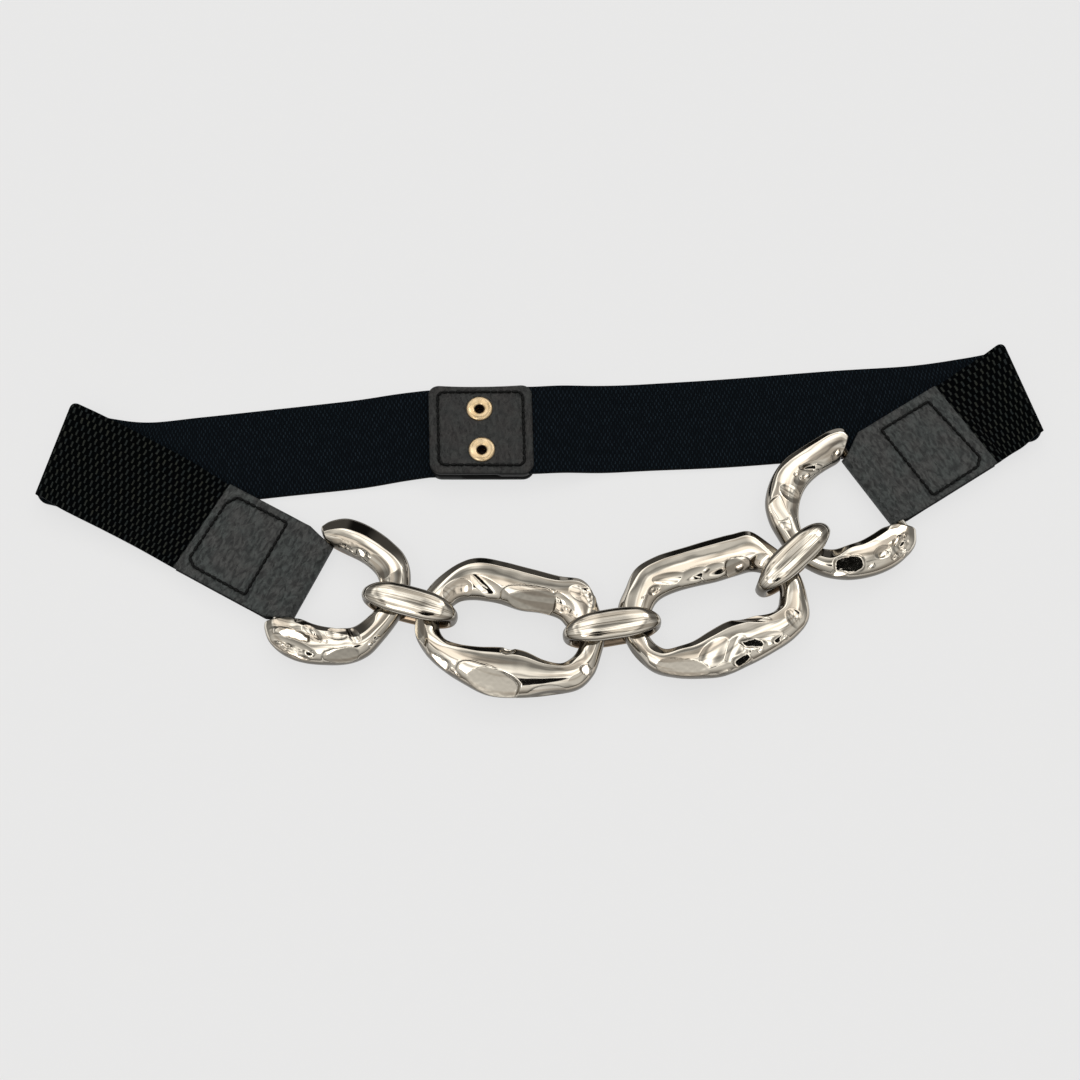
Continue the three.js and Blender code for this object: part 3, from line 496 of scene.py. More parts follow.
# A scoop is its middle, length, width, turn and depth. A bright, black, grey or dim flat is its middle,
# length, width and turn. A facet adds its depth, direction and slope, a pitted patch its depth and grain
# size.
BIG_LINK_MARKS = {
    "left": {
        "scoops": [
            (-21.2, 10.6, 11.8, 7.7, 31, 1.1), (-8.6, 12.7, 19.2, 5.9, -26, 0.8),
            (18.0, 11.7, 11.6, 5.7, -32, 1.0), (24.8, 16.3, 10.1, 5.8, -14, 0.5),
            (1.2, -9.6, 5.5, 4.1, 19, 1.0), (17.8, -22.5, 14.3, 4.6, 13, 0.9),
            (-31.0, -8.8, 12.3, 4.1, -70, 0.9)],
        "black": [
            (15.7, 12.8, 3.0, 1.3, -14), (20.5, 9.9, 3.7, 1.3, -29), (-16.7, -20.8, 6.2, 2.0, -28),
            (-11.0, 13.0, 5.3, 1.1, -24), (25.4, 18.0, 4.2, 1.5, -21)],
        "bright": [
            (-23.3, -17.7, 9.8, 4.7, -23), (30.7, -12.3, 4.4, 3.7, -38), (14.2, 15.3, 2.7, 1.3, -21),
            (22.9, 8.6, 3.8, 1.3, -25)],
        "grey": [(-4.5, -21.6, 25.5, 9.5, -12)],
        "dim": [(5.2, 11.0, 21.7, 10.7, 4)],
        "facets": [(-31.0, -8.5, 16, 16, 0, 0.7, 195, 0.8), (28.5, -15.5, 14, 14, 0, 0.6, -50, 0.55)],
        "pitted": [(28.0, 15.2, 9.0, 7.0, -40, 0.25, 1.9)],
    },
    "right": {
        "scoops": [
            (-7.2, -17.6, 14.6, 8.1, 26, 0.8), (0.9, -18.0, 12.4, 6.2, 35, 0.7),
            (26.1, -13.8, 8.9, 6.1, -68, 0.7), (-13.0, 14.8, 14.3, 4.4, -9, 0.9),
            (-4.6, 13.4, 13.1, 5.3, 5, 0.9), (3.1, 12.8, 11.0, 5.6, 7, 0.9),
            (21.6, 11.6, 8.3, 5.7, 6, 0.9), (-20.2, 12.2, 5.5, 3.2, 17, 0.7),
            (9.9, -8.8, 16.1, 3.2, -22, 0.6), (-33.7, -9.1, 10.8, 5.5, -67, 0.6),
            (11.3, -18.1, 17.3, 5.5, 2, 0.6)],
        "black": [
            (8.0, -18.1, 10.0, 3.6, -18), (2.4, -22.8, 8.0, 4.2, 4), (17.4, -19.2, 5.4, 2.8, 8),
            (-5.3, -24.9, 7.2, 1.1, -8), (9.6, 13.0, 3.9, 1.3, 84), (-20.4, 12.6, 1.8, 1.2, 16),
            (-2.4, 12.1, 6.2, 1.1, -33), (-25.0, 10.6, 1.8, 1.1, 16)],
        "bright": [
            (20.0, -19.3, 3.7, 1.6, 10), (9.7, -21.1, 3.0, 1.8, 8), (5.7, -20.6, 2.5, 1.3, 4),
            (-2.6, -26.5, 4.6, 1.1, -3), (1.1, 14.2, 3.6, 1.3, 16), (13.6, 11.8, 3.4, 2.4, 10)],
        "grey": [(-20.2, -20.3, 20.4, 8.8, -22)],
        "dim": [(13.1, 11.9, 10.2, 7.5, -9)],
        "facets": [(-29.5, -13.0, 16, 16, 0, 0.6, 215, 0.5)],
    },
}

END_LINK_MARKS = {
    "left": {
        "scoops": [
            (8.3, 15.5, 9.6, 4.1, 4, 0.5), (15.4, 16.4, 9.6, 4.4, -1, 0.6),
            (24.6, 15.2, 11.4, 5.9, -22, 0.9), (12.3, -26.6, 19.9, 4.8, 5, 0.9),
            (16.5, -19.3, 10.1, 4.3, -12, 0.8), (25.2, -15.1, 9.3, 5.6, 19, 1.0),
            (30.4, -12.8, 8.2, 4.3, -25, 0.8)],
        "black": [
            (6.9, 16.0, 2.7, 1.3, 16), (11.3, 16.0, 2.3, 1.3, -3), (18.9, 16.8, 2.3, 1.0, -14),
            (27.7, 10.9, 3.5, 1.7, -28), (19.2, -26.3, 5.0, 2.4, 11), (8.4, -27.2, 9.3, 1.2, 11),
            (17.3, -19.2, 6.1, 1.3, -20), (38.1, -9.7, 3.4, 1.4, 67), (28.2, -21.5, 9.1, 0.9, 42)],
        "bright": [
            (9.0, -22.9, 17.0, 3.6, 10), (9.3, 16.1, 2.1, 1.3, 1), (15.4, 16.9, 4.5, 2.7, 0),
            (14.4, -28.9, 13.6, 1.5, 10), (22.2, -19.8, 3.0, 1.3, 6), (37.6, -12.8, 2.4, 1.3, 67)],
        "dim": [(30.1, -21.8, 14.8, 6.0, 35)],
        "pitted": [(11.0, 17.0, 19.0, 4.0, -3, 0.2, 1.8), (11.5, -28.0, 20.0, 4.0, 4, 0.2, 1.9)],
    },
    "right": {
        "scoops": [
            (31.3, 13.8, 9.2, 6.5, 72, 0.8), (40.4, 6.4, 9.4, 4.9, 90, 0.6),
            (15.5, -24.5, 7.8, 4.7, 4, 0.8), (4.6, 17.9, 7.6, 4.2, -11, 0.6),
            (16.7, 18.4, 11.9, 4.0, 17, 0.5), (23.6, 16.5, 7.4, 4.3, 1, 0.5),
            (8.5, -26.0, 12.2, 5.0, -21, 0.6)],
        "black": [
            (16.7, 18.4, 10.9, 2.4, 24), (23.5, 17.0, 2.6, 1.5, -1), (29.6, -21.6, 12.4, 6.6, 28),
            (6.6, -25.3, 4.4, 1.8, -14), (12.2, -28.1, 3.3, 1.5, 4), (4.4, -23.6, 2.3, 1.2, -18)],
        "bright": [
            (21.2, 16.6, 3.8, 1.6, 7), (24.6, 18.9, 2.2, 1.3, 5), (7.9, -23.2, 5.6, 1.8, -21),
            (7.9, -29.0, 4.0, 1.2, -25), (15.6, -24.9, 4.7, 2.1, 5), (4.2, 18.7, 3.3, 2.1, -6),
            (22.7, -26.5, 3.7, 1.5, 8), (34.4, -23.0, 6.4, 3.4, 44)],
        "facets": [(37.0, 10.5, 10, 10, 0, 0.4, 0, 0.4)],
        "pitted": [(9.0, -26.0, 14.0, 7.0, 20, 0.2, 1.9)],
    },
}


BIG_LINK_GRID = (560, 112)
END_LINK_GRID = (430, 112)
CONNECTOR_GRID = (168, 56)
BAR_SIDES = 32


def big_link(side, rows, seed, material):
    at, turn = BIG_LINK_PLACES[side]["at"], BIG_LINK_PLACES[side]["turn"]

    def base_at(x):
        return np.full_like(x, LINK_BASE)

    surface = cast_surface(rows, True, base_at, 1, turn)
    skin = hammered(surface, BIG_LINK_MARKS[side], seed, base_at, 1, at, turn)
    mesh = grid_mesh(*BIG_LINK_GRID, lambda u, v: placed(skin(u, v), at, turn))
    finished(f"hammered_link_{side}", mesh, [material], [f"big_link_{side}"])


def end_link(side, rows, seed, material):
    """The C-shaped casting and the round bar through the leather's loop, in one mesh."""
    end = ENDS[side]
    flip, at, turn = end["to_chain"], end["at"], end["turn"]

    def base_at(x):
        share = np.clip((x - END_LEAN["low_x"]) / (END_LEAN["high_x"] - END_LEAN["low_x"]), 0, 1)
        return mix(end["arm_base"], LINK_BASE, share)

    surface = cast_surface(rows, False, base_at, flip, turn)
    skin = hammered(surface, END_LINK_MARKS[side], seed, base_at, flip, at, turn)
    mesh = grid_mesh(*END_LINK_GRID, lambda u, v: from_end(side, skin(u, v)))
    bar = bmesh.ops.create_cone(mesh, cap_ends=True, segments=BAR_SIDES, radius1=BAR_RADIUS,
                                radius2=BAR_RADIUS, depth=2 * BAR_HALF_LENGTH)
    for vert in bar["verts"]:
        vert.co = from_end(side, [(vert.co.x, vert.co.z, vert.co.y + end["bar_z"])])[0]
    bmesh.ops.recalc_face_normals(mesh, faces=mesh.faces)
    finished(f"hammered_end_link_{side}", mesh, [material], [f"end_link_{side}"])


# Half of a connector's section from the outside (depth 0) to the inside (1), as shares of the half width
CONNECTOR_SECTION = [(0, 0.12), (0.05, 0.5), (0.24, 0.9), (0.55, 1.08), (0.86, 0.85), (1.0, 0.35)]


def connector(where, seed, material):
    """An upright ring, almond-shaped from above, which is a rounded oval from the side."""
    place, c = CONNECTOR_PLACES[where], CONNECTOR
    corners = np.array(CONNECTOR_SECTION + [(depth, -width) for depth, width in CONNECTOR_SECTION[::-1]])

    def surface(u, v):
        depth, width = closed_spline(np.broadcast_to(corners, (len(v),) + corners.shape), v).T
        cosine, sine = np.cos(u * 2 * math.pi), np.sin(u * 2 * math.pi)
        bar_width = np.where(sine > 0, c["top_width"], c["bottom_width"])
        half_width = mix(c["tip_width"], bar_width, np.abs(sine) ** c["swell"]) / 2

        def oval(end_inset, inset, squareness):
            power = 2 / squareness
            return (np.sign(cosine) * np.abs(cosine) ** power * (place["length"] / 2 - end_inset),
                    np.sign(sine) * np.abs(sine) ** power * (c["height"] / 2 - inset))
        outside = oval(0, 0, c["squareness"])
        inside = oval(c["end_thickness"], c["thickness"], c["open_squareness"])
        x = mix(outside[0], inside[0], depth)
        z = mix(outside[1], inside[1], depth) + c["height"] / 2
        return placed(np.column_stack((x, width * half_width, z)), place["at"], place["turn"])

    def wavy_surface(u, v):
        points = surface(u, v)
        depth = c["wave_depth"] * wavy(points, c["wave_size"], seed)
        return points - surface_normals(surface, u, v) * depth[:, None]
    mesh = grid_mesh(*CONNECTOR_GRID, wavy_surface)
    finished(f"connector_ring_{where}", mesh, [material], [f"connector_{where}"])

# Elastic bands. A row is a line across the band: far edge x and y, near edge x and y, mid height. The
# front layer starts over the end of the back one.
LOW = ELASTIC_THICKNESS / 2
HIGH = FOLD_HEIGHT - ELASTIC_THICKNESS / 2
INNER_TAB_Z = SNAP_TAB["inner_top"] - POCKET_HALF
OUTER_TAB_Z = SNAP_TAB["outer_bottom"] + POCKET_HALF

BANDS = {
    "left": {
        "back": [
            (-32.4, 63.2, -32.2, 25.6, OUTER_TAB_Z),
            (-43.0, 62.9, -42.0, 25.4, OUTER_TAB_Z),
            (-46.0, 62.8, -44.5, 25.2, OUTER_TAB_Z),
            (-58.0, 61.9, -54.0, 24.3, 1.7),
            (-76.5, 59.3, -72.5, 21.4, LOW),
            (-110.0, 55.1, -105.5, 17.6, LOW),
            (-136.0, 52.0, -131.5, 14.3, LOW),
            (-156.0, 49.8, -158.0, 10.8, LOW),
            (-171.0, 51.4, -178.5, 11.8, LOW),
            (-183.2, 54.7, -192.7, 14.9, LOW),
        ],
        "front": [
            (-172.0, 49.4, -184.0, 9.8, 7.0),
            (-154.5, 40.5, -168.5, 2.2, 5.7),
            (-137.5, 31.3, -154.5, -5.0, 4.8),
        ],
    },
    "right": {
        "back": [
            (-14.4, 63.0, -14.2, 25.5, INNER_TAB_Z),
            (-4.0, 63.1, -3.4, 25.6, INNER_TAB_Z),
            (-1.0, 63.2, -0.4, 25.7, INNER_TAB_Z),
            (9.0, 64.2, 10.0, 26.6, 5.0),
            (24.0, 65.8, 25.0, 28.0, 1.6),
            (41.0, 66.8, 42.0, 29.2, LOW),
            (73.0, 69.0, 75.0, 30.8, LOW),
            (117.0, 72.8, 120.0, 34.4, LOW),
            (150.0, 75.2, 156.5, 36.0, LOW),
            (172.0, 78.6, 182.0, 39.4, LOW),
            (184.6, 81.2, 195.9, 42.0, LOW),
        ],
        "front": [
            (176.5, 75.4, 190.5, 37.2, 6.8),
            (169.0, 70.6, 185.5, 34.2, 5.9),
            (163.0, 66.6, 182.0, 32.0, 5.1),
        ],
    },
}
HAIRPIN_STEPS = 12
# The pocket in a leather tab: its depth, where lines of the band lie in it, from its mouth, and the play
# beside the band's edges
POCKET = {"depth": 29, "level_from": -3, "mouth_line": 2, "edge_play": 0.2}
BAND_FACE = 0.8
BAND_WAVE = {"depth": 0.12, "size": 30.0}
FOLD_CORNER = 2.6
FINE = np.linspace(0, 1, 400)

# Leather tabs at the chain, in the frame of their end. mouth is where the elastic goes in.
TABS = {
    "left": {"mouth": -45.4, "far": 18.3, "near": -21.1, "far_slant": -8.8, "near_slant": -4.6,
             "loop_far": 15.2, "loop_near": -18.2, "near_reach": 2.0},
    "right": {"mouth": -47.0, "far": 22.2, "near": -17.6, "far_slant": -9.0, "near_slant": -4.0,
              "loop_far": 16.0, "loop_near": -16.8, "near_reach": 0.0},
}


def pocket_rows(side):
    """Lines across the band inside its leather tab."""
    tab = TABS[side]
    far, near = tab["far"] - POCKET["edge_play"], tab["near"] + POCKET["edge_play"]
    rows = []
    for along in (POCKET["level_from"], POCKET["mouth_line"], POCKET["depth"]):
        x = tab["mouth"] + along
        edges = from_end(side, [(x, far, 0), (x, near, 0)])
        rows.append((*edges[0, :2], *edges[1, :2], ENDS[side]["bar_z"]))
    return rows


def hairpin_rows(row):
    """Half a turn from the back layer up to the front one, with the strip's corners rounded off."""
    far, near = np.array(row[0:2]), np.array(row[2:4])
    across = (far - near) / np.linalg.norm(far - near)
    outward = np.array((-across[1], across[0]))
    outward *= np.sign(outward[0] * far[0])
    radius = (HIGH - LOW) / 2
    rows = []
    for step in range(1, HAIRPIN_STEPS):
        angle = math.pi * (step / HAIRPIN_STEPS - 0.5)
        push = radius * math.cos(angle)
        rounding = min((radius - push) / FOLD_CORNER, 1)
        trim = FOLD_CORNER * (1 - math.sqrt(1 - (1 - rounding) ** 2)) * across
        rows.append((*(far + push * outward - trim), *(near + push * outward + trim),
                     LOW + radius * (1 + math.sin(angle))))
    return rows


def band_rows(side):
    """All lines across a band at even steps, from its snap tab over the fold into its leather tab."""
    back, front = BANDS[side]["back"], BANDS[side]["front"]
    front = [(*back[-1][:4], HIGH)] + front + pocket_rows(side)
    rows = np.vstack((smooth_curve(back, FINE), hairpin_rows(back[-1]), smooth_curve(front, FINE)))
    rows[:, 4] = np.maximum(rows[:, 4], LOW)
    along = distances(np.column_stack(((rows[:, 0:2] + rows[:, 2:4]) / 2, rows[:, 4])))
    length = float(along[-1])
    return looked_up(np.linspace(0, length, int(length / BAND_FACE)), along, rows), length


def elastic_band(side, materials, seed):
    rows, length = band_rows(side)
    width = float(np.median(np.linalg.norm(rows[:, 0:2] - rows[:, 2:4], axis=1)))

    def shape(u, v):
        row = looked_up(u * (len(rows) - 1), np.arange(len(rows)), rows)
        points = np.column_stack((mix(row[:, 2:4], row[:, 0:2], v[:, None]), row[:, 4]))
        lift = BAND_WAVE["depth"] * wavy(points, BAND_WAVE["size"], seed)
        points[:, 2] = np.maximum(points[:, 2] + lift, LOW)
        return points
    mesh = grid_mesh(len(rows) - 1, int(width / BAND_FACE), shape)
    set_uv_size(mesh, length, width)
    face_outwards(mesh)
    band = finished(f"woven_elastic_{side}", mesh, materials, [f"elastic_band_{side}"])
    thicken(band, ELASTIC_THICKNESS, offset=0, inner=1, rim=2)


def set_uv_size(mesh, length, width):
    """Makes the piece's UV map count in mm along and across it."""
    layer = mesh.loops.layers.uv["UVMap"]
    for face in mesh.faces:
        for loop in face.loops:
            loop[layer].uv = (loop[layer].uv.x * length, loop[layer].uv.y * width)


def face_outwards(mesh):
    """Turns the strip's faces so that the front layer's face up."""
    highest = max(mesh.faces, key=lambda face: face.calc_center_median().z)
    if highest.normal.z < 0:
        bmesh.ops.reverse_faces(mesh, faces=mesh.faces)


def thicken(piece, thickness, offset, inner, rim):
    """Gives a strip its thickness. inner and rim are the materials of its other face and its edge."""
    wall = piece.modifiers.new("wall", "SOLIDIFY")
    wall.thickness = thickness * MM
    wall.offset = offset
    wall.material_offset = inner
    wall.material_offset_rim = rim
    wall.use_even_offset = True


# Leather tabs
LOOP_REACH = BAR_RADIUS + GAP + LEATHER
NECK = {"start": 4, "start_half": 1.9, "end": -6, "end_half": 2.2}
WRAP = {"angle": 125, "steps": 24}
PROFILE_CORNERS = 60
LOOP_CORNER_X = 1.6
# A loop's near corner reaches toward the chain from here on.
NEAR_REACH_X = -4
LEATHER_FACE = 0.5
# Seams, creases and rolled edges fade in between these heights from the bar's middle.
FLAT_FROM = (0.5, 2.0)
CREASES = [{"depth": 0.16, "size": 11.0}, {"depth": 0.05, "size": 3.0}]
EDGE_ROLL = {"depth": 0.5, "width": 1.2}
STITCH = {"length": 3.0, "pitch": 2.7, "width": 1.25, "sunk": 0.15, "pucker_width": 1.6, "pucker": 0.45}
TAB_STITCHES = {
    "left": [(-42.4, 10.5), (-42.2, -14.9), (-38.8, -17.2), (-15.6, -17.4), (-17.2, 15.0), (-39.8, 14.8)],
    "right": [(-40.6, 18.0), (-17.2, 18.0), (-17.2, -15.1), (-39.5, -14.7), (-42.7, -12.0)],
}


def tab_profile(tab):
    """Side view of the folded leaf's outer face, x along the tab and z from the bar's middle."""
    pocket_end = tab["mouth"] + POCKET["depth"] + GAP
    top = [(tab["mouth"], POCKET_HALF), (pocket_end, POCKET_HALF),
           (pocket_end + NECK["start"], NECK["start_half"]), (NECK["end"], NECK["end_half"])]
    turn = [(LOOP_REACH * math.cos(a), LOOP_REACH * math.sin(a))
            for a in np.radians(np.linspace(WRAP["angle"], -WRAP["angle"], WRAP["steps"]))]
    line = top + turn + [(x, -z) for x, z in top[::-1]]
    return even_line(smooth_curve(even_line(line, PROFILE_CORNERS), FINE), len(FINE))


def tab_edge(tab, edge, x):
    """Far or near edge of the leaf at x along the tab."""
    stations = (tab["mouth"], tab[edge + "_slant"], LOOP_CORNER_X, LOOP_REACH)
    return np.interp(x, stations, (tab[edge], tab[edge], tab["loop_" + edge], tab["loop_" + edge]))


def pucker(points, line, depth):
    """How far the leather is drawn down beside a closed line of stitches."""
    nearest = np.full(len(points), np.inf)
    for start, end in zip(line, list(line[1:]) + [line[0]]):
        start, reach = np.array(start), np.array(end) - np.array(start)
        share = np.clip((points[:, :2] - start) @ reach / (reach @ reach), 0, 1)
        off_line = points[:, :2] - start - share[:, None] * reach
        nearest = np.minimum(nearest, np.linalg.norm(off_line, axis=1))
    return depth * np.clip(1 - nearest / STITCH["pucker_width"], 0, None)


def rolled(to_edge, roll):
    """How far the leather is rolled down at a distance from its edge."""
    return roll["depth"] * np.clip(1 - to_edge / roll["width"], 0, 1) ** 2


def leather_tab(side, materials, seed):
    tab, end = TABS[side], ENDS[side]
    profile = tab_profile(tab)
    length = float(distances(profile)[-1])
    stitches = TAB_STITCHES[side]

    def shape(u, v):
        x, z = looked_up(u, FINE, profile).T
        far, near = tab_edge(tab, "far", x), tab_edge(tab, "near", x)
        reach = tab["near_reach"] * (1 - v) * smooth_step(NEAR_REACH_X, LOOP_REACH, x)
        points = np.column_stack((x + reach, mix(near, far, v), z))
        rise = -pucker(points, stitches, STITCH["pucker"])
        rise -= rolled(np.minimum(v, 1 - v) * (far - near), EDGE_ROLL)
        for number, crease in enumerate(CREASES):
            rise += crease["depth"] * wavy(points, crease["size"], seed + number)
        points[:, 2] += rise * smooth_step(*FLAT_FROM, np.abs(z)) * np.sign(z) + end["bar_z"]
        return from_end(side, points)
    width = tab["far"] - tab["near"]
    mesh = grid_mesh(int(length / LEATHER_FACE), int(width / LEATHER_FACE), shape)
    set_uv_size(mesh, length, width)
    face_outwards(mesh)
    leaf = finished(f"leather_leaf_{side}", mesh, materials, [f"leather_tab_{side}"])
    thicken(leaf, LEATHER, offset=-1, inner=0, rim=1)
    height = end["bar_z"] + POCKET_HALF - STITCH["sunk"]
    sewing(f"tab_stitches_{side}", from_end(side, [(*spot, height) for spot in stitches]), materials[1:])


def sewing(name, corners, materials):
    """A closed line of stitches: short round bars of thread, sunk at their ends."""
    mesh = bmesh.new()
    closed = np.vstack((corners, corners[:1]))
    for start, finish in zip(closed, closed[1:]):
        reach = finish - start
        count = max(round(np.linalg.norm(reach) / STITCH["pitch"]), 1)
        turn = math.degrees(math.atan2(reach[1], reach[0]))
        for number in range(count):
            middle = start + reach * (number + 0.5) / count
            stitch = bmesh.ops.create_uvsphere(mesh, u_segments=8, v_segments=6, radius=0.5)
            for vert in stitch["verts"]:
                own = np.array([vert.co]) * (STITCH["length"], STITCH["width"], STITCH["width"])
                vert.co = placed(own, middle, turn)[0] + (0, 0, middle[2])
    finished(name, mesh, materials)


# Snap tabs
SNAP_TAB_CORNERS = [(-42.9, 24.9), (-2.3, 24.9), (-3.4, 63.7), (-44.6, 63.3)]
SNAP_TABS = {
    "inner": {"face_z": SNAP_TAB["inner_top"], "inward": -1, "mouth_x": -2.8, "direction": -1},
    "outer": {"face_z": SNAP_TAB["outer_bottom"], "inward": 1, "mouth_x": -43.8, "direction": 1},
}
# The far edge is drawn in at its middle.
FAR_EDGE = {"hollow": 0.9, "steepness": 6}
# The rim's black paint runs on over the side that faces the other leaf: painted shade for the dark gap
# between the leaves.
SHADE_PAINT_RUN = 2.2
SNAP_CREASE = {"depth": 0.14, "size": 12.0}
SNAP_EDGE_ROLL = {"depth": 0.55, "width": 1.1}
SNAP_STITCH = {"sunk": 0.09, "pucker": 0.4}
SNAP_TAB_GRID = (84, 80)
# Radii of a snap's flange and of the leaf's hole for its barrel
SNAP_FLANGE = 5.25
BARREL_HOLE = 3.2


def rounded_square(u, v):
    """Shares across the leaf, with its corners drawn in to their radius."""
    size = SNAP_TAB["size"]
    x, y = (u - 0.5) * size, (v - 0.5) * size
    inner = size / 2 - SNAP_TAB["corner_radius"]
    over_x, over_y = np.clip(np.abs(x) - inner, 0, None), np.clip(np.abs(y) - inner, 0, None)
    pull = np.maximum(over_x, over_y) / np.maximum(np.hypot(over_x, over_y), TINY)
    pull = np.where((over_x > 0) & (over_y > 0), pull, 1)
    x = np.sign(x) * (np.minimum(np.abs(x), inner) + over_x * pull)
    y = np.sign(y) * (np.minimum(np.abs(y), inner) + over_y * pull)
    return x / size + 0.5, y / size + 0.5


def snap_tab(where, materials, seed):
    """One rounded leaf, thicker at the pocket that takes the elastic."""
    tab = SNAP_TABS[where]
    near_left, near_right, far_right, far_left = (np.array(corner) for corner in SNAP_TAB_CORNERS)
    stitches = snap_stitch_line()

    def leaf(u, v, on_face):
        a, b = (share[:, None] for share in rounded_square(u, v))
        spot = mix(mix(near_left, near_right, a), mix(far_left, far_right, a), b)
        spot[:, 1:] -= FAR_EDGE["hollow"] * b ** FAR_EDGE["steepness"] * (1 - (2 * a - 1) ** 2)
        from_mouth = tab["direction"] * (spot[:, 0] - tab["mouth_x"])
        past_pocket = smooth_step(SNAP_TAB["pocket"], SNAP_TAB["pocket"] + SNAP_TAB["taper"], from_mouth)
        depth = mix(2 * POCKET_HALF, SNAP_TAB["thickness"], past_pocket) * (not on_face)
        points = np.column_stack((spot, tab["face_z"] + tab["inward"] * depth))
        to_edge = np.minimum(np.minimum(u, 1 - u), np.minimum(v, 1 - v)) * SNAP_TAB["size"]
        sink = pucker(points, stitches, SNAP_STITCH["pucker"]) + rolled(to_edge, SNAP_EDGE_ROLL)
        sink -= SNAP_CREASE["depth"] * wavy(points, SNAP_CREASE["size"], seed)
        points[:, 2] += (tab["inward"] if on_face else -tab["inward"]) * sink
        return points

    mesh = bmesh.new()
    mesh.loops.layers.uv.new("UVMap")
    for on_face in (True, False):
        side = grid_mesh(*SNAP_TAB_GRID, lambda u, v: leaf(u, v, on_face))
        for face in side.faces:
            x, y, _ = face.calc_center_median()
            to_edge = min(x - near_left[0], near_right[0] - x, y - near_left[1], far_left[1] - y)
            # Near the edge, the side that faces the other leaf takes the black edge paint: painted shade.
            face.material_index = int(not on_face and to_edge < SHADE_PAINT_RUN)
        data = bpy.data.meshes.new("leaf side")
        side.to_mesh(data)
        side.free()
        mesh.from_mesh(data)
        bpy.data.meshes.remove(data)
    for centre in SNAPS.values():
        cut = [face for face in mesh.faces
               if math.dist(face.calc_center_median()[:2], centre) < BARREL_HOLE]
        bmesh.ops.delete(mesh, geom=cut, context="FACES")
        close_wall([edge for edge in mesh.edges if edge.is_boundary
                    and math.dist(edge.verts[0].co[:2], centre) < SNAP_FLANGE], mesh)
    close_wall([edge for edge in mesh.edges if edge.is_boundary], mesh)
    bmesh.ops.recalc_face_normals(mesh, faces=mesh.faces)
    set_uv_size(mesh, SNAP_TAB["size"], SNAP_TAB["size"])
    finished(f"snap_leather_{where}", mesh, materials, [f"snap_tab_{where}"])
    height = tab["face_z"] + tab["inward"] * SNAP_STITCH["sunk"]
    sewing(f"snap_stitches_{where}", np.array([(*spot, height) for spot in stitches]), materials[1:])


def close_wall(edges, mesh):
    """Joins the two faces of a leaf along their open edges with a painted rim."""
    for face in bmesh.ops.bridge_loops(mesh, edges=edges)["faces"]:
        face.material_index = 1


def snap_stitch_line():
    """Corners of the seam inside the leaf's edge, with its own corners cut off."""
    corners = [Vector(corner) for corner in SNAP_TAB_CORNERS]
    middle = sum(corners, Vector((0, 0))) / len(corners)
    inset = SNAP_TAB["stitch_inset"] * math.sqrt(2)
    inset = [corner + (middle - corner).normalized() * inset for corner in corners]
    line = []
    for before, here, after in zip(inset[-1:] + inset[:-1], inset, inset[1:] + inset[:1]):
        for other in (before, after):
            line.append(tuple(here + (other - here).normalized() * SNAP_TAB["stitch_cut"]))
    return line


# Snaps: the eyelet of the socket's half on top and the cap of the stud's half beneath, as side views of
# (radius, height) points that are spun about the snap's axis. Inside a radius, the metal takes a dark
# painted shade, for the shade down in the snap's hole.
SNAP_HALVES = {
    "eyelet": {"node": "snap_socket", "dark_inside": 1.9, "profile": [
        (1.75, 8.0), (2.25, 8.45), (3.75, 8.75), (4.45, 9.05), (SNAP_FLANGE, 8.6), (SNAP_FLANGE, 7.9),
        (2.9, 7.9), (2.9, 5.3), (SNAP_FLANGE, 5.3), (SNAP_FLANGE, 4.7), (2.55, 4.7), (1.75, 5.3)]},
    "cap": {"node": "snap_stud", "dark_inside": 2.25, "profile": [
        (0, 0), (4.45, 0), (SNAP_FLANGE, 0.3), (SNAP_FLANGE, 0.8), (2.9, 0.8), (2.9, 3.8), (4.45, 3.8),
        (4.45, 4.1), (1.4, 4.1), (1.4, 4.9), (0, 4.9)]},
}
SNAP_PROFILE_POINTS = 60
SNAP_SIDES = 48
DARK_FROM_Z = 1


def snap_half(where, half, materials):
    form = SNAP_HALVES[half]
    mesh = bmesh.new()
    corners = even_line(form["profile"] + form["profile"][:1], SNAP_PROFILE_POINTS)
    verts = [mesh.verts.new((radius, 0, z)) for radius, z in corners[:-1]]
    edges = [mesh.edges.new(pair) for pair in zip(verts, verts[1:] + verts[:1])]
    bmesh.ops.spin(mesh, geom=verts + edges, cent=(0, 0, 0), axis=(0, 0, 1), angle=2 * math.pi,
                   steps=SNAP_SIDES, use_merge=True)
    bmesh.ops.remove_doubles(mesh, verts=mesh.verts, dist=WELD)
    bmesh.ops.smooth_vert(mesh, verts=mesh.verts, factor=0.5, use_axis_z=True)
    bmesh.ops.recalc_face_normals(mesh, faces=mesh.faces)
    for face in mesh.faces:
        middle = face.calc_center_median()
        # Faces inside the radius take the dark second material: painted shade in the snap's hole.
        face.material_index = int(middle.z > DARK_FROM_Z and middle.xy.length < form["dark_inside"])
    bmesh.ops.translate(mesh, verts=mesh.verts, vec=(*SNAPS[where], 0))
    finished(f"snap_{half}_{where}", mesh, materials, [f"{form['node']}_{where}"])

# Materials
SMOOTH = {"interpolation_type": "SMOOTHSTEP"}


def add_node(tree, kind, inputs=None, **settings):
    """Adds a node with its settings, and sets or links each of its inputs.

    An input is a value, an sRGB colour, a socket or a node, which gives its first output."""
    node = tree.nodes.new("ShaderNode" + kind)
    for name, value in settings.items():
        setattr(node, name, value)
    for name, value in (inputs or {}).items():
        if isinstance(value, bpy.types.Node):
            value = value.outputs[0]
        if isinstance(value, bpy.types.NodeSocket):
            tree.links.new(value, node.inputs[name])
        elif isinstance(value, str):
            node.inputs[name].default_value = linear(value)
        else:
            node.inputs[name].default_value = value
    return node


def new_material(name):
    """An empty material and what adds a node to it."""
    material = bpy.data.materials.new(name)
    material.use_nodes = True
    material.node_tree.nodes.clear()
    return material, functools.partial(add_node, material.node_tree)


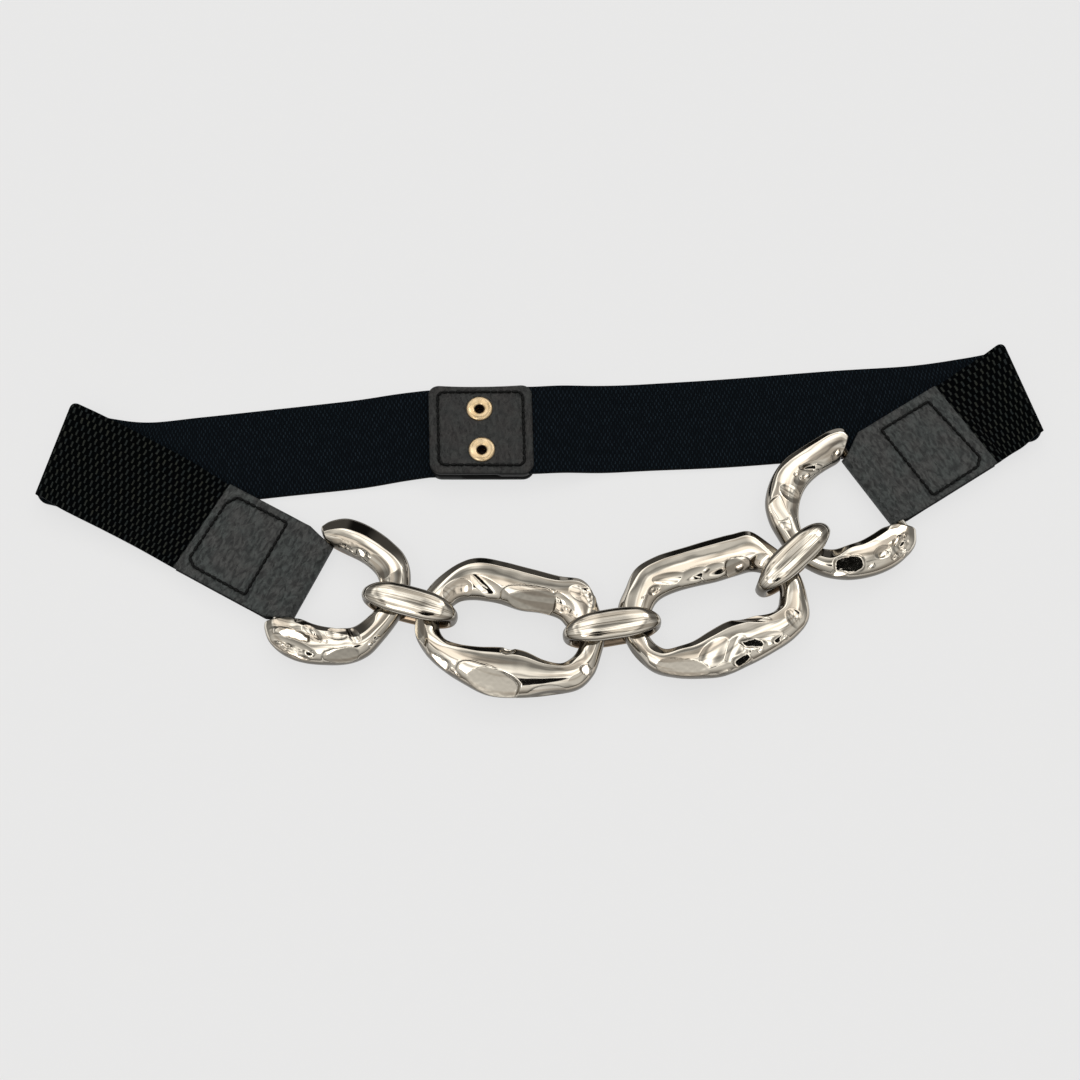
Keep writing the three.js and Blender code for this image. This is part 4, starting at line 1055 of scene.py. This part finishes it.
def shade(add, inputs):
    """The shader of a material, joined to its output."""
    add("OutputMaterial", {"Surface": add("BsdfPrincipled", inputs)})


def mottled(add, size, detail, colours):
    """Cloudy noise with clouds of about size mm, and a colour that runs between two by it."""
    cloud = add("TexNoise", {
        "Vector": add("TexCoord").outputs["Object"], "Scale": 1 / (size * MM), "Detail": detail})
    return cloud, add("MixRGB", {"Fac": cloud, "Color1": colours[0], "Color2": colours[1]})


def drawn_out_noise(add, along, around):
    """Noise drawn out along a bar, which has no seam where the piece's UV map closes.

    The map is rolled up on two circles, whose radii are given in sizes of the noise."""
    spot = add("SeparateXYZ", {"Vector": add("TexCoord").outputs["UV"]})
    rolled_up = []
    for axis, radius in (("X", along), ("Y", around)):
        angle = add("Math", {0: spot.outputs[axis], 1: 2 * math.pi}, operation="MULTIPLY")
        for turn in ("COSINE", "SINE"):
            share = add("Math", {0: angle}, operation=turn)
            rolled_up.append(add("Math", {0: share, 1: radius}, operation="MULTIPLY"))
    vector = add("CombineXYZ", dict(zip("XYZ", rolled_up)))
    return add("TexNoise", {"Vector": vector, "W": rolled_up[3], "Scale": 1.0, "Detail": 1.0},
               noise_dimensions="4D")


def polished_nickel(name, along, around, line):
    """Bright nickel plate over a cast, tumbled and buffed alloy: warm and mirror-like on the tops, with a
    few faint flutes drawn out along the bar, whose colour lines are a painted reflection. The ground bevels
    that face away take a darker painted shade, the walls are satin and take a dark painted shade, and the
    metal takes a brownish painted shade near the surface that it lies on.

    along and around set the flutes' size, line is the colour that they take on, a painted reflection."""
    material, add = new_material(name)
    flute = drawn_out_noise(add, along, around)
    facing = add("SeparateXYZ", {"Vector": add("NewGeometry").outputs["True Normal"]})
    spot = add("SeparateXYZ", {"Vector": add("TexCoord").outputs["Object"]})
    crown, buffed_and_lit, far_facing, drawn, raised = (
        add("MapRange", {"Value": value, "From Min": low, "From Max": high}, **SMOOTH)
        for value, low, high in (
            (facing.outputs["Z"], 0.86, 0.97), (facing.outputs["Z"], 0.25, 0.7),
            (facing.outputs["Y"], 0.25, 0.45), (flute, 0.4, 0.52), (spot.outputs["Z"], 4 * MM, 6.5 * MM)))
    # Lines along the flutes take the colour line: painted reflection streaks.
    top = add("MixRGB", {"Fac": drawn, "Color1": line, "Color2": "#efe8da"})
    # Sides that face away, toward the back of the layout, take a darker colour: painted shade.
    ground = add("MixRGB", {"Fac": far_facing, "Color1": top, "Color2": "#8c867c"})
    # Walls and undersides take a dark colour: painted shade. Their satin finish is the roughness below.
    colour = add("MixRGB", {"Fac": buffed_and_lit, "Color1": "#6c675f", "Color2": ground})
    # Parts low down, near the surface that the metal lies on, take a brownish colour: painted shade.
    shaded = add("MixRGB", {"Fac": raised, "Color1": "#8a7a68", "Color2": colour})
    roughness = add("MapRange", {"Value": buffed_and_lit, "To Min": 0.3, "To Max": 0.06})
    depth = add("Math", {0: flute, 1: crown}, operation="MULTIPLY")
    bump = add("Bump", {"Height": depth, "Strength": 1.0, "Distance": 0.08 * MM})
    shade(add, {"Base Color": shaded, "Metallic": 1.0, "Roughness": roughness, "Normal": bump})
    return material


def grained_leather(name, dark_colours, wrinkle_highlight_colours):
    """Black full-grain cowhide: charcoal with a low sheen, a pebble grain of about 1 mm, fine wrinkles
    across the strap, about 2 mm apart, and slight changes of hue. The wrinkles' crests take a lighter
    colour, which is a painted highlight."""
    material, add = new_material(name)
    place = add("TexCoord")
    pebble = add("TexVoronoi", {
        "Vector": place.outputs["Object"], "Scale": 1 / (0.9 * MM), "Randomness": 1.0}, feature="SMOOTH_F1")
    drawn_out = add("Mapping", {"Vector": place.outputs["UV"], "Scale": (0.7, 0.33, 1)})
    wrinkle = add("TexNoise", {"Vector": drawn_out, "Scale": 1.0, "Detail": 1.0, "Distortion": 0.6})
    hue = add("TexNoise", {"Vector": place.outputs["Object"], "Scale": 1 / (9 * MM), "Detail": 2.0})
    hue_share = add("MapRange", {"Value": hue, "From Min": 0.4, "From Max": 0.6})
    dark, wrinkle_highlight = (add("MixRGB", {"Fac": hue_share, "Color1": colours[0], "Color2": colours[1]})
                   for colours in (dark_colours, wrinkle_highlight_colours))
    # The wrinkles' crests take the lighter colours: a painted highlight.
    raised = add("MapRange", {"Value": wrinkle, "From Min": 0.35, "From Max": 0.65})
    colour = add("MixRGB", {"Fac": raised, "Color1": dark, "Color2": wrinkle_highlight})
    grain_bump = add("Bump", {"Height": pebble, "Strength": 1.0, "Distance": 0.4 * MM})
    bump = add("Bump", {"Height": wrinkle, "Strength": 1.0, "Distance": 0.7 * MM, "Normal": grain_bump})
    shade(add, {"Base Color": colour, "Roughness": 0.58, "Specular IOR Level": 0.35, "Normal": bump})
    return material


def painted_edge():
    """Leather's cut edge under black edge paint: nearly black and slightly glossy, with soft lumps."""
    material, add = new_material("black_edge_paint")
    lumps, colour = mottled(add, 1.5, 2.0, ("#0b0c0c", "#151616"))
    bump = add("Bump", {"Height": lumps, "Strength": 0.4, "Distance": 0.2 * MM})
    shade(add, {"Base Color": colour, "Roughness": 0.5, "Specular IOR Level": 0.12, "Normal": bump})
    return material


def woven_floats(add, column_step, float_length, play):
    """Threads that float across the band in columns, each column half a float on from the one before it:
    1 on a float and 0 between them. play is how far the threads lie out of true, in mm."""
    place = add("TexCoord")
    uneven = add("TexNoise", {"Vector": place.outputs["UV"], "Scale": 0.7, "Detail": 1.0})
    moved = add("VectorMath", {
        0: uneven.outputs["Color"], 1: (4 * play, 4 * play, 0), 2: place.outputs["UV"]},
        operation="MULTIPLY_ADD")
    spot = add("SeparateXYZ", {"Vector": moved})
    waves = []
    for axis, step in (("X", column_step), ("Y", float_length)):
        turns = add("Math", {0: spot.outputs[axis], 1: math.pi / step}, operation="MULTIPLY")
        waves.append(add("Math", {0: turns}, operation="SINE"))
    turn_about = add("Math", {0: waves[0], 1: waves[1]}, operation="MULTIPLY")
    length = add("MapRange", {"Value": turn_about, "From Min": -0.05, "From Max": 0.3}, **SMOOTH)
    size = add("Math", {0: waves[0]}, operation="ABSOLUTE")
    width = add("MapRange", {"Value": size, "From Min": 0.45, "From Max": 0.9}, **SMOOTH)
    return add("Math", {0: length, 1: width}, operation="MULTIPLY")


def woven_face(name, column_step, float_length, play, thread_colours, ground):
    """A woven face of the elastic, with patches of two thread colours, relief and a dull shine."""
    material, add = new_material(name)
    floats = woven_floats(add, column_step, float_length, play)
    patch = add("TexNoise", {"Vector": add("TexCoord").outputs["UV"], "Scale": 0.28, "Detail": 3.0})
    patches = add("MapRange", {"Value": patch, "From Min": 0.36, "From Max": 0.64})
    thread = add("MixRGB", {"Fac": patches, "Color1": thread_colours[0], "Color2": thread_colours[1]})
    colour = add("MixRGB", {"Fac": floats, "Color1": ground, "Color2": thread})
    bump = add("Bump", {"Height": floats, "Strength": 0.8, "Distance": 0.3 * MM})
    shade(add, {"Base Color": colour, "Roughness": 0.9, "Specular IOR Level": 0.03, "Normal": bump})
    return material


def elastic_outside():
    """Woven elastic's outer face: black polyester with raised floats of thread, 2.5 mm long, across the
    band in columns 1.4 mm apart."""
    return woven_face("black_woven_elastic_outside", 1.37, 2.5, 0.14, ("#262b2c", "#32342f"), "#020304")


def elastic_inside():
    """Woven elastic's inner face: navy-black, with finer floats."""
    return woven_face("black_woven_elastic_inside", 0.85, 1.6, 0.2, ("#141c22", "#212b33"), "#0b0f13")


def elastic_edge():
    """The band's selvedge: tightly bound black thread."""
    material, add = new_material("black_elastic_selvedge")
    binding = add("TexWave", {
        "Vector": add("TexCoord").outputs["UV"], "Scale": 0.45, "Distortion": 0.8}, bands_direction="X")
    colour = add("MixRGB", {"Fac": binding.outputs["Fac"], "Color1": "#060707", "Color2": "#12161a"})
    shade(add, {"Base Color": colour, "Roughness": 0.8, "Specular IOR Level": 0.05})
    return material


def sewing_thread():
    """Bonded black polyester thread: three plies twisted together, with a faint shine."""
    material, add = new_material("black_sewing_thread")
    plies = add("TexWave", {
        "Vector": add("TexCoord").outputs["Object"], "Scale": 1 / (3 * MM), "Distortion": 0.5},
        bands_direction="DIAGONAL")
    colour = add("MixRGB", {"Fac": plies.outputs["Fac"], "Color1": "#020202", "Color2": "#0c0d0d"})
    shade(add, {"Base Color": colour, "Roughness": 0.7, "Specular IOR Level": 0.08})
    return material


def pale_gold_plate():
    """Snap rings of pressed brass under pale gold plate: warm, with cloudy wear."""
    material, add = new_material("pale_gold_plated_brass")
    wear, colour = mottled(add, 2.5, 4.0, ("#c9a877", "#ecd9b8"))
    roughness = add("MapRange", {"Value": wear, "To Min": 0.18, "To Max": 0.36})
    shade(add, {"Base Color": colour, "Metallic": 1.0, "Roughness": roughness})
    return material


def snap_hole_shade():
    """The snap's inside, down in its hole: dark brown, a painted shade."""
    material, add = new_material("snap_hole_painted_shade")
    colour = mottled(add, 1.5, 2.0, ("#0c0706", "#2a1611"))[1]
    shade(add, {"Base Color": colour, "Roughness": 0.6, "Specular IOR Level": 0.2})
    return material


# Studio: a bright tent, which leans away from the camera and whose seams draw lines on the metal, two
# soft boxes that sparkle in the hammer marks, a dark gap round the camera, a dark room behind the belt
# and a grey one in front of it
TENT_LEAN = 13
# The tent's seams: how far apart they run along an axis of its ceiling, and how bright they are
SEAMS = (("X", 0.62, 0.62), ("Y", 0.36, 0.42))
FLOOR_HALF_SIZE = 3.0
FLOOR_DROP = 0.2


def studio_light():
    world = bpy.data.worlds.new("studio_tent")
    bpy.context.scene.world = world
    world.use_nodes = True
    world.node_tree.nodes.clear()
    add = functools.partial(add_node, world.node_tree)
    place = add("TexCoord").outputs["Generated"]
    leaning = add("Mapping", {"Vector": place, "Rotation": (math.radians(TENT_LEAN), 0, 0)})
    way = add("SeparateXYZ", {"Vector": leaning}).outputs
    height = add("Math", {0: way["Z"], 1: 0.05}, operation="MAXIMUM")
    cloth = 1.0
    for axis, spacing, brightness in SEAMS:
        ceiling = add("Math", {0: way[axis], 1: height}, operation="DIVIDE")
        turns = add("Math", {0: ceiling, 1: math.pi / spacing}, operation="MULTIPLY")
        wave = add("Math", {0: turns}, operation="SINE")
        size = add("Math", {0: wave}, operation="ABSOLUTE")
        seam = add("MapRange", {"Value": size, "From Max": 0.75, "To Min": brightness}, **SMOOTH)
        cloth = add("Math", {0: seam, 1: cloth}, operation="MULTIPLY")
    panel = add("TexNoise", {"Vector": place, "Scale": 2.2, "Detail": 0.0})
    panel_light = add("MapRange", {
        "Value": panel, "From Min": 0.35, "From Max": 0.6, "To Min": 0.46, "To Max": 1.24}, **SMOOTH)
    lit_cloth = add("Math", {0: cloth, 1: panel_light}, operation="MULTIPLY")
    tent = add("Math", {0: lit_cloth, 1: 1.35}, operation="MULTIPLY")
    aside = add("Math", {0: way["X"]}, operation="ABSOLUTE")
    corner = add("MapRange", {
        "Value": aside, "From Min": 0.07, "From Max": 0.17, "To Min": 0.02, "To Max": 0.17}, **SMOOTH)
    in_front = add("MapRange", {
        "Value": way["Z"], "From Min": -0.1, "From Max": 0.6, "To Min": 0.14, "To Max": 0.62})
    room = add("MapRange", {
        "Value": way["Y"], "From Min": -0.25, "From Max": 0.3, "To Min": in_front,
        "To Max": corner}, **SMOOTH)
    overhead = add("MapRange", {"Value": way["Z"], "From Min": 0.56, "From Max": 0.76}, **SMOOTH)
    strength = add("Mix", {"Factor": overhead, "A": room, "B": tent}, data_type="FLOAT")
    for direction in SOFT_BOXES:
        near = add("VectorMath", {0: place, 1: Vector(direction).normalized()}, operation="DOT_PRODUCT")
        box = add("MapRange", {
            "Value": near.outputs["Value"], "From Min": 0.99, "From Max": 0.994, "To Max": 2.6}, **SMOOTH)
        strength = add("Math", {0: strength, 1: box}, operation="ADD")
    at_camera = add("VectorMath", {0: place, 1: Vector(CAMERA_GAP).normalized()}, operation="DOT_PRODUCT")
    gap = add("MapRange", {
        "Value": at_camera.outputs["Value"], "From Min": 0.986, "From Max": 0.99, "To Min": 1.0,
        "To Max": 0.01}, **SMOOTH)
    strength = add("Math", {0: strength, 1: gap}, operation="MULTIPLY")
    add("OutputWorld", {"Surface": add("Background", {"Color": "#fffdfa", "Strength": strength})})


def pale_floor():
    """Pale paper under the belt, with a glow of its own that keeps the shadows on it soft."""
    material, add = new_material("pale_paper")
    grain = add("TexNoise", {"Scale": 900.0})
    colour = add("MixRGB", {"Fac": grain, "Color1": "#6c6c6c", "Color2": "#6e6e6e"})
    shade(add, {
        "Base Color": colour, "Roughness": 1.0, "Specular IOR Level": 0.0,
        "Emission Color": "#ffffff", "Emission Strength": 0.69})
    mesh = bmesh.new()
    bmesh.ops.create_grid(mesh, x_segments=1, y_segments=1, size=FLOOR_HALF_SIZE)
    data = bpy.data.meshes.new("paper_floor")
    mesh.to_mesh(data)
    mesh.free()
    data.materials.append(material)
    floor = bpy.data.objects.new("paper_floor", data)
    floor.location.z = -FLOOR_DROP * MM
    bpy.context.collection.objects.link(floor)


def photo_camera():
    data = bpy.data.cameras.new("photo_camera")
    data.lens = CAMERA["lens"]
    data.sensor_width = CAMERA["sensor"]
    camera = bpy.data.objects.new("photo_camera", data)
    bpy.context.collection.objects.link(camera)
    camera.location = (Vector(CAMERA_WAY) * CAMERA["distance"] - Vector(LAYOUT_CENTRE)) * MM
    camera.rotation_euler = (math.radians(90 - CAMERA["elevation"]), 0, 0)
    bpy.context.scene.camera = camera


# Assembly
bpy.context.scene.view_settings.view_transform = "Standard"
photo_camera()
studio_light()
pale_floor()

# The last colour of each is that of the painted reflection streaks along the flutes.
link_nickel = polished_nickel("polished_nickel_links", 0.9, 2.2, "#cfc4b4")
ring_nickel = polished_nickel("polished_nickel_rings", 0.3, 6.0, "#b5ac9e")
# Each leather's second pair of colours is the painted highlight on its wrinkles.
leather = grained_leather("grained_black_cowhide", ("#262a2a", "#292a2a"), ("#464b4a", "#494a49"))
# The snap tabs are the same leather as the tabs at the chain; this darker copy is painted shade.
snap_leather = grained_leather("grained_cowhide_painted_shade", ("#232525", "#252424"), ("#343635", "#373635"))
edge_paint = painted_edge()
thread = sewing_thread()
elastic = [elastic_outside(), elastic_inside(), elastic_edge()]
gold = [pale_gold_plate(), snap_hole_shade()]

big_link("left", BIG_LINK_LEFT, 11, link_nickel)
big_link("right", BIG_LINK_RIGHT, 23, link_nickel)
end_link("left", END_LINK_LEFT, 37, link_nickel)
end_link("right", END_LINK_RIGHT, 41, link_nickel)
for number, where in enumerate(CONNECTOR_PLACES):
    connector(where, 50 + number, ring_nickel)
for number, side in enumerate(ENDS):
    elastic_band(side, elastic, 60 + number)
    leather_tab(side, [leather, edge_paint, thread], 70 + number)
for number, where in enumerate(SNAP_TABS):
    snap_tab(where, [snap_leather, edge_paint, thread], 80 + number)
for where in SNAPS:
    for half in SNAP_HALVES:
        snap_half(where, half, gold)
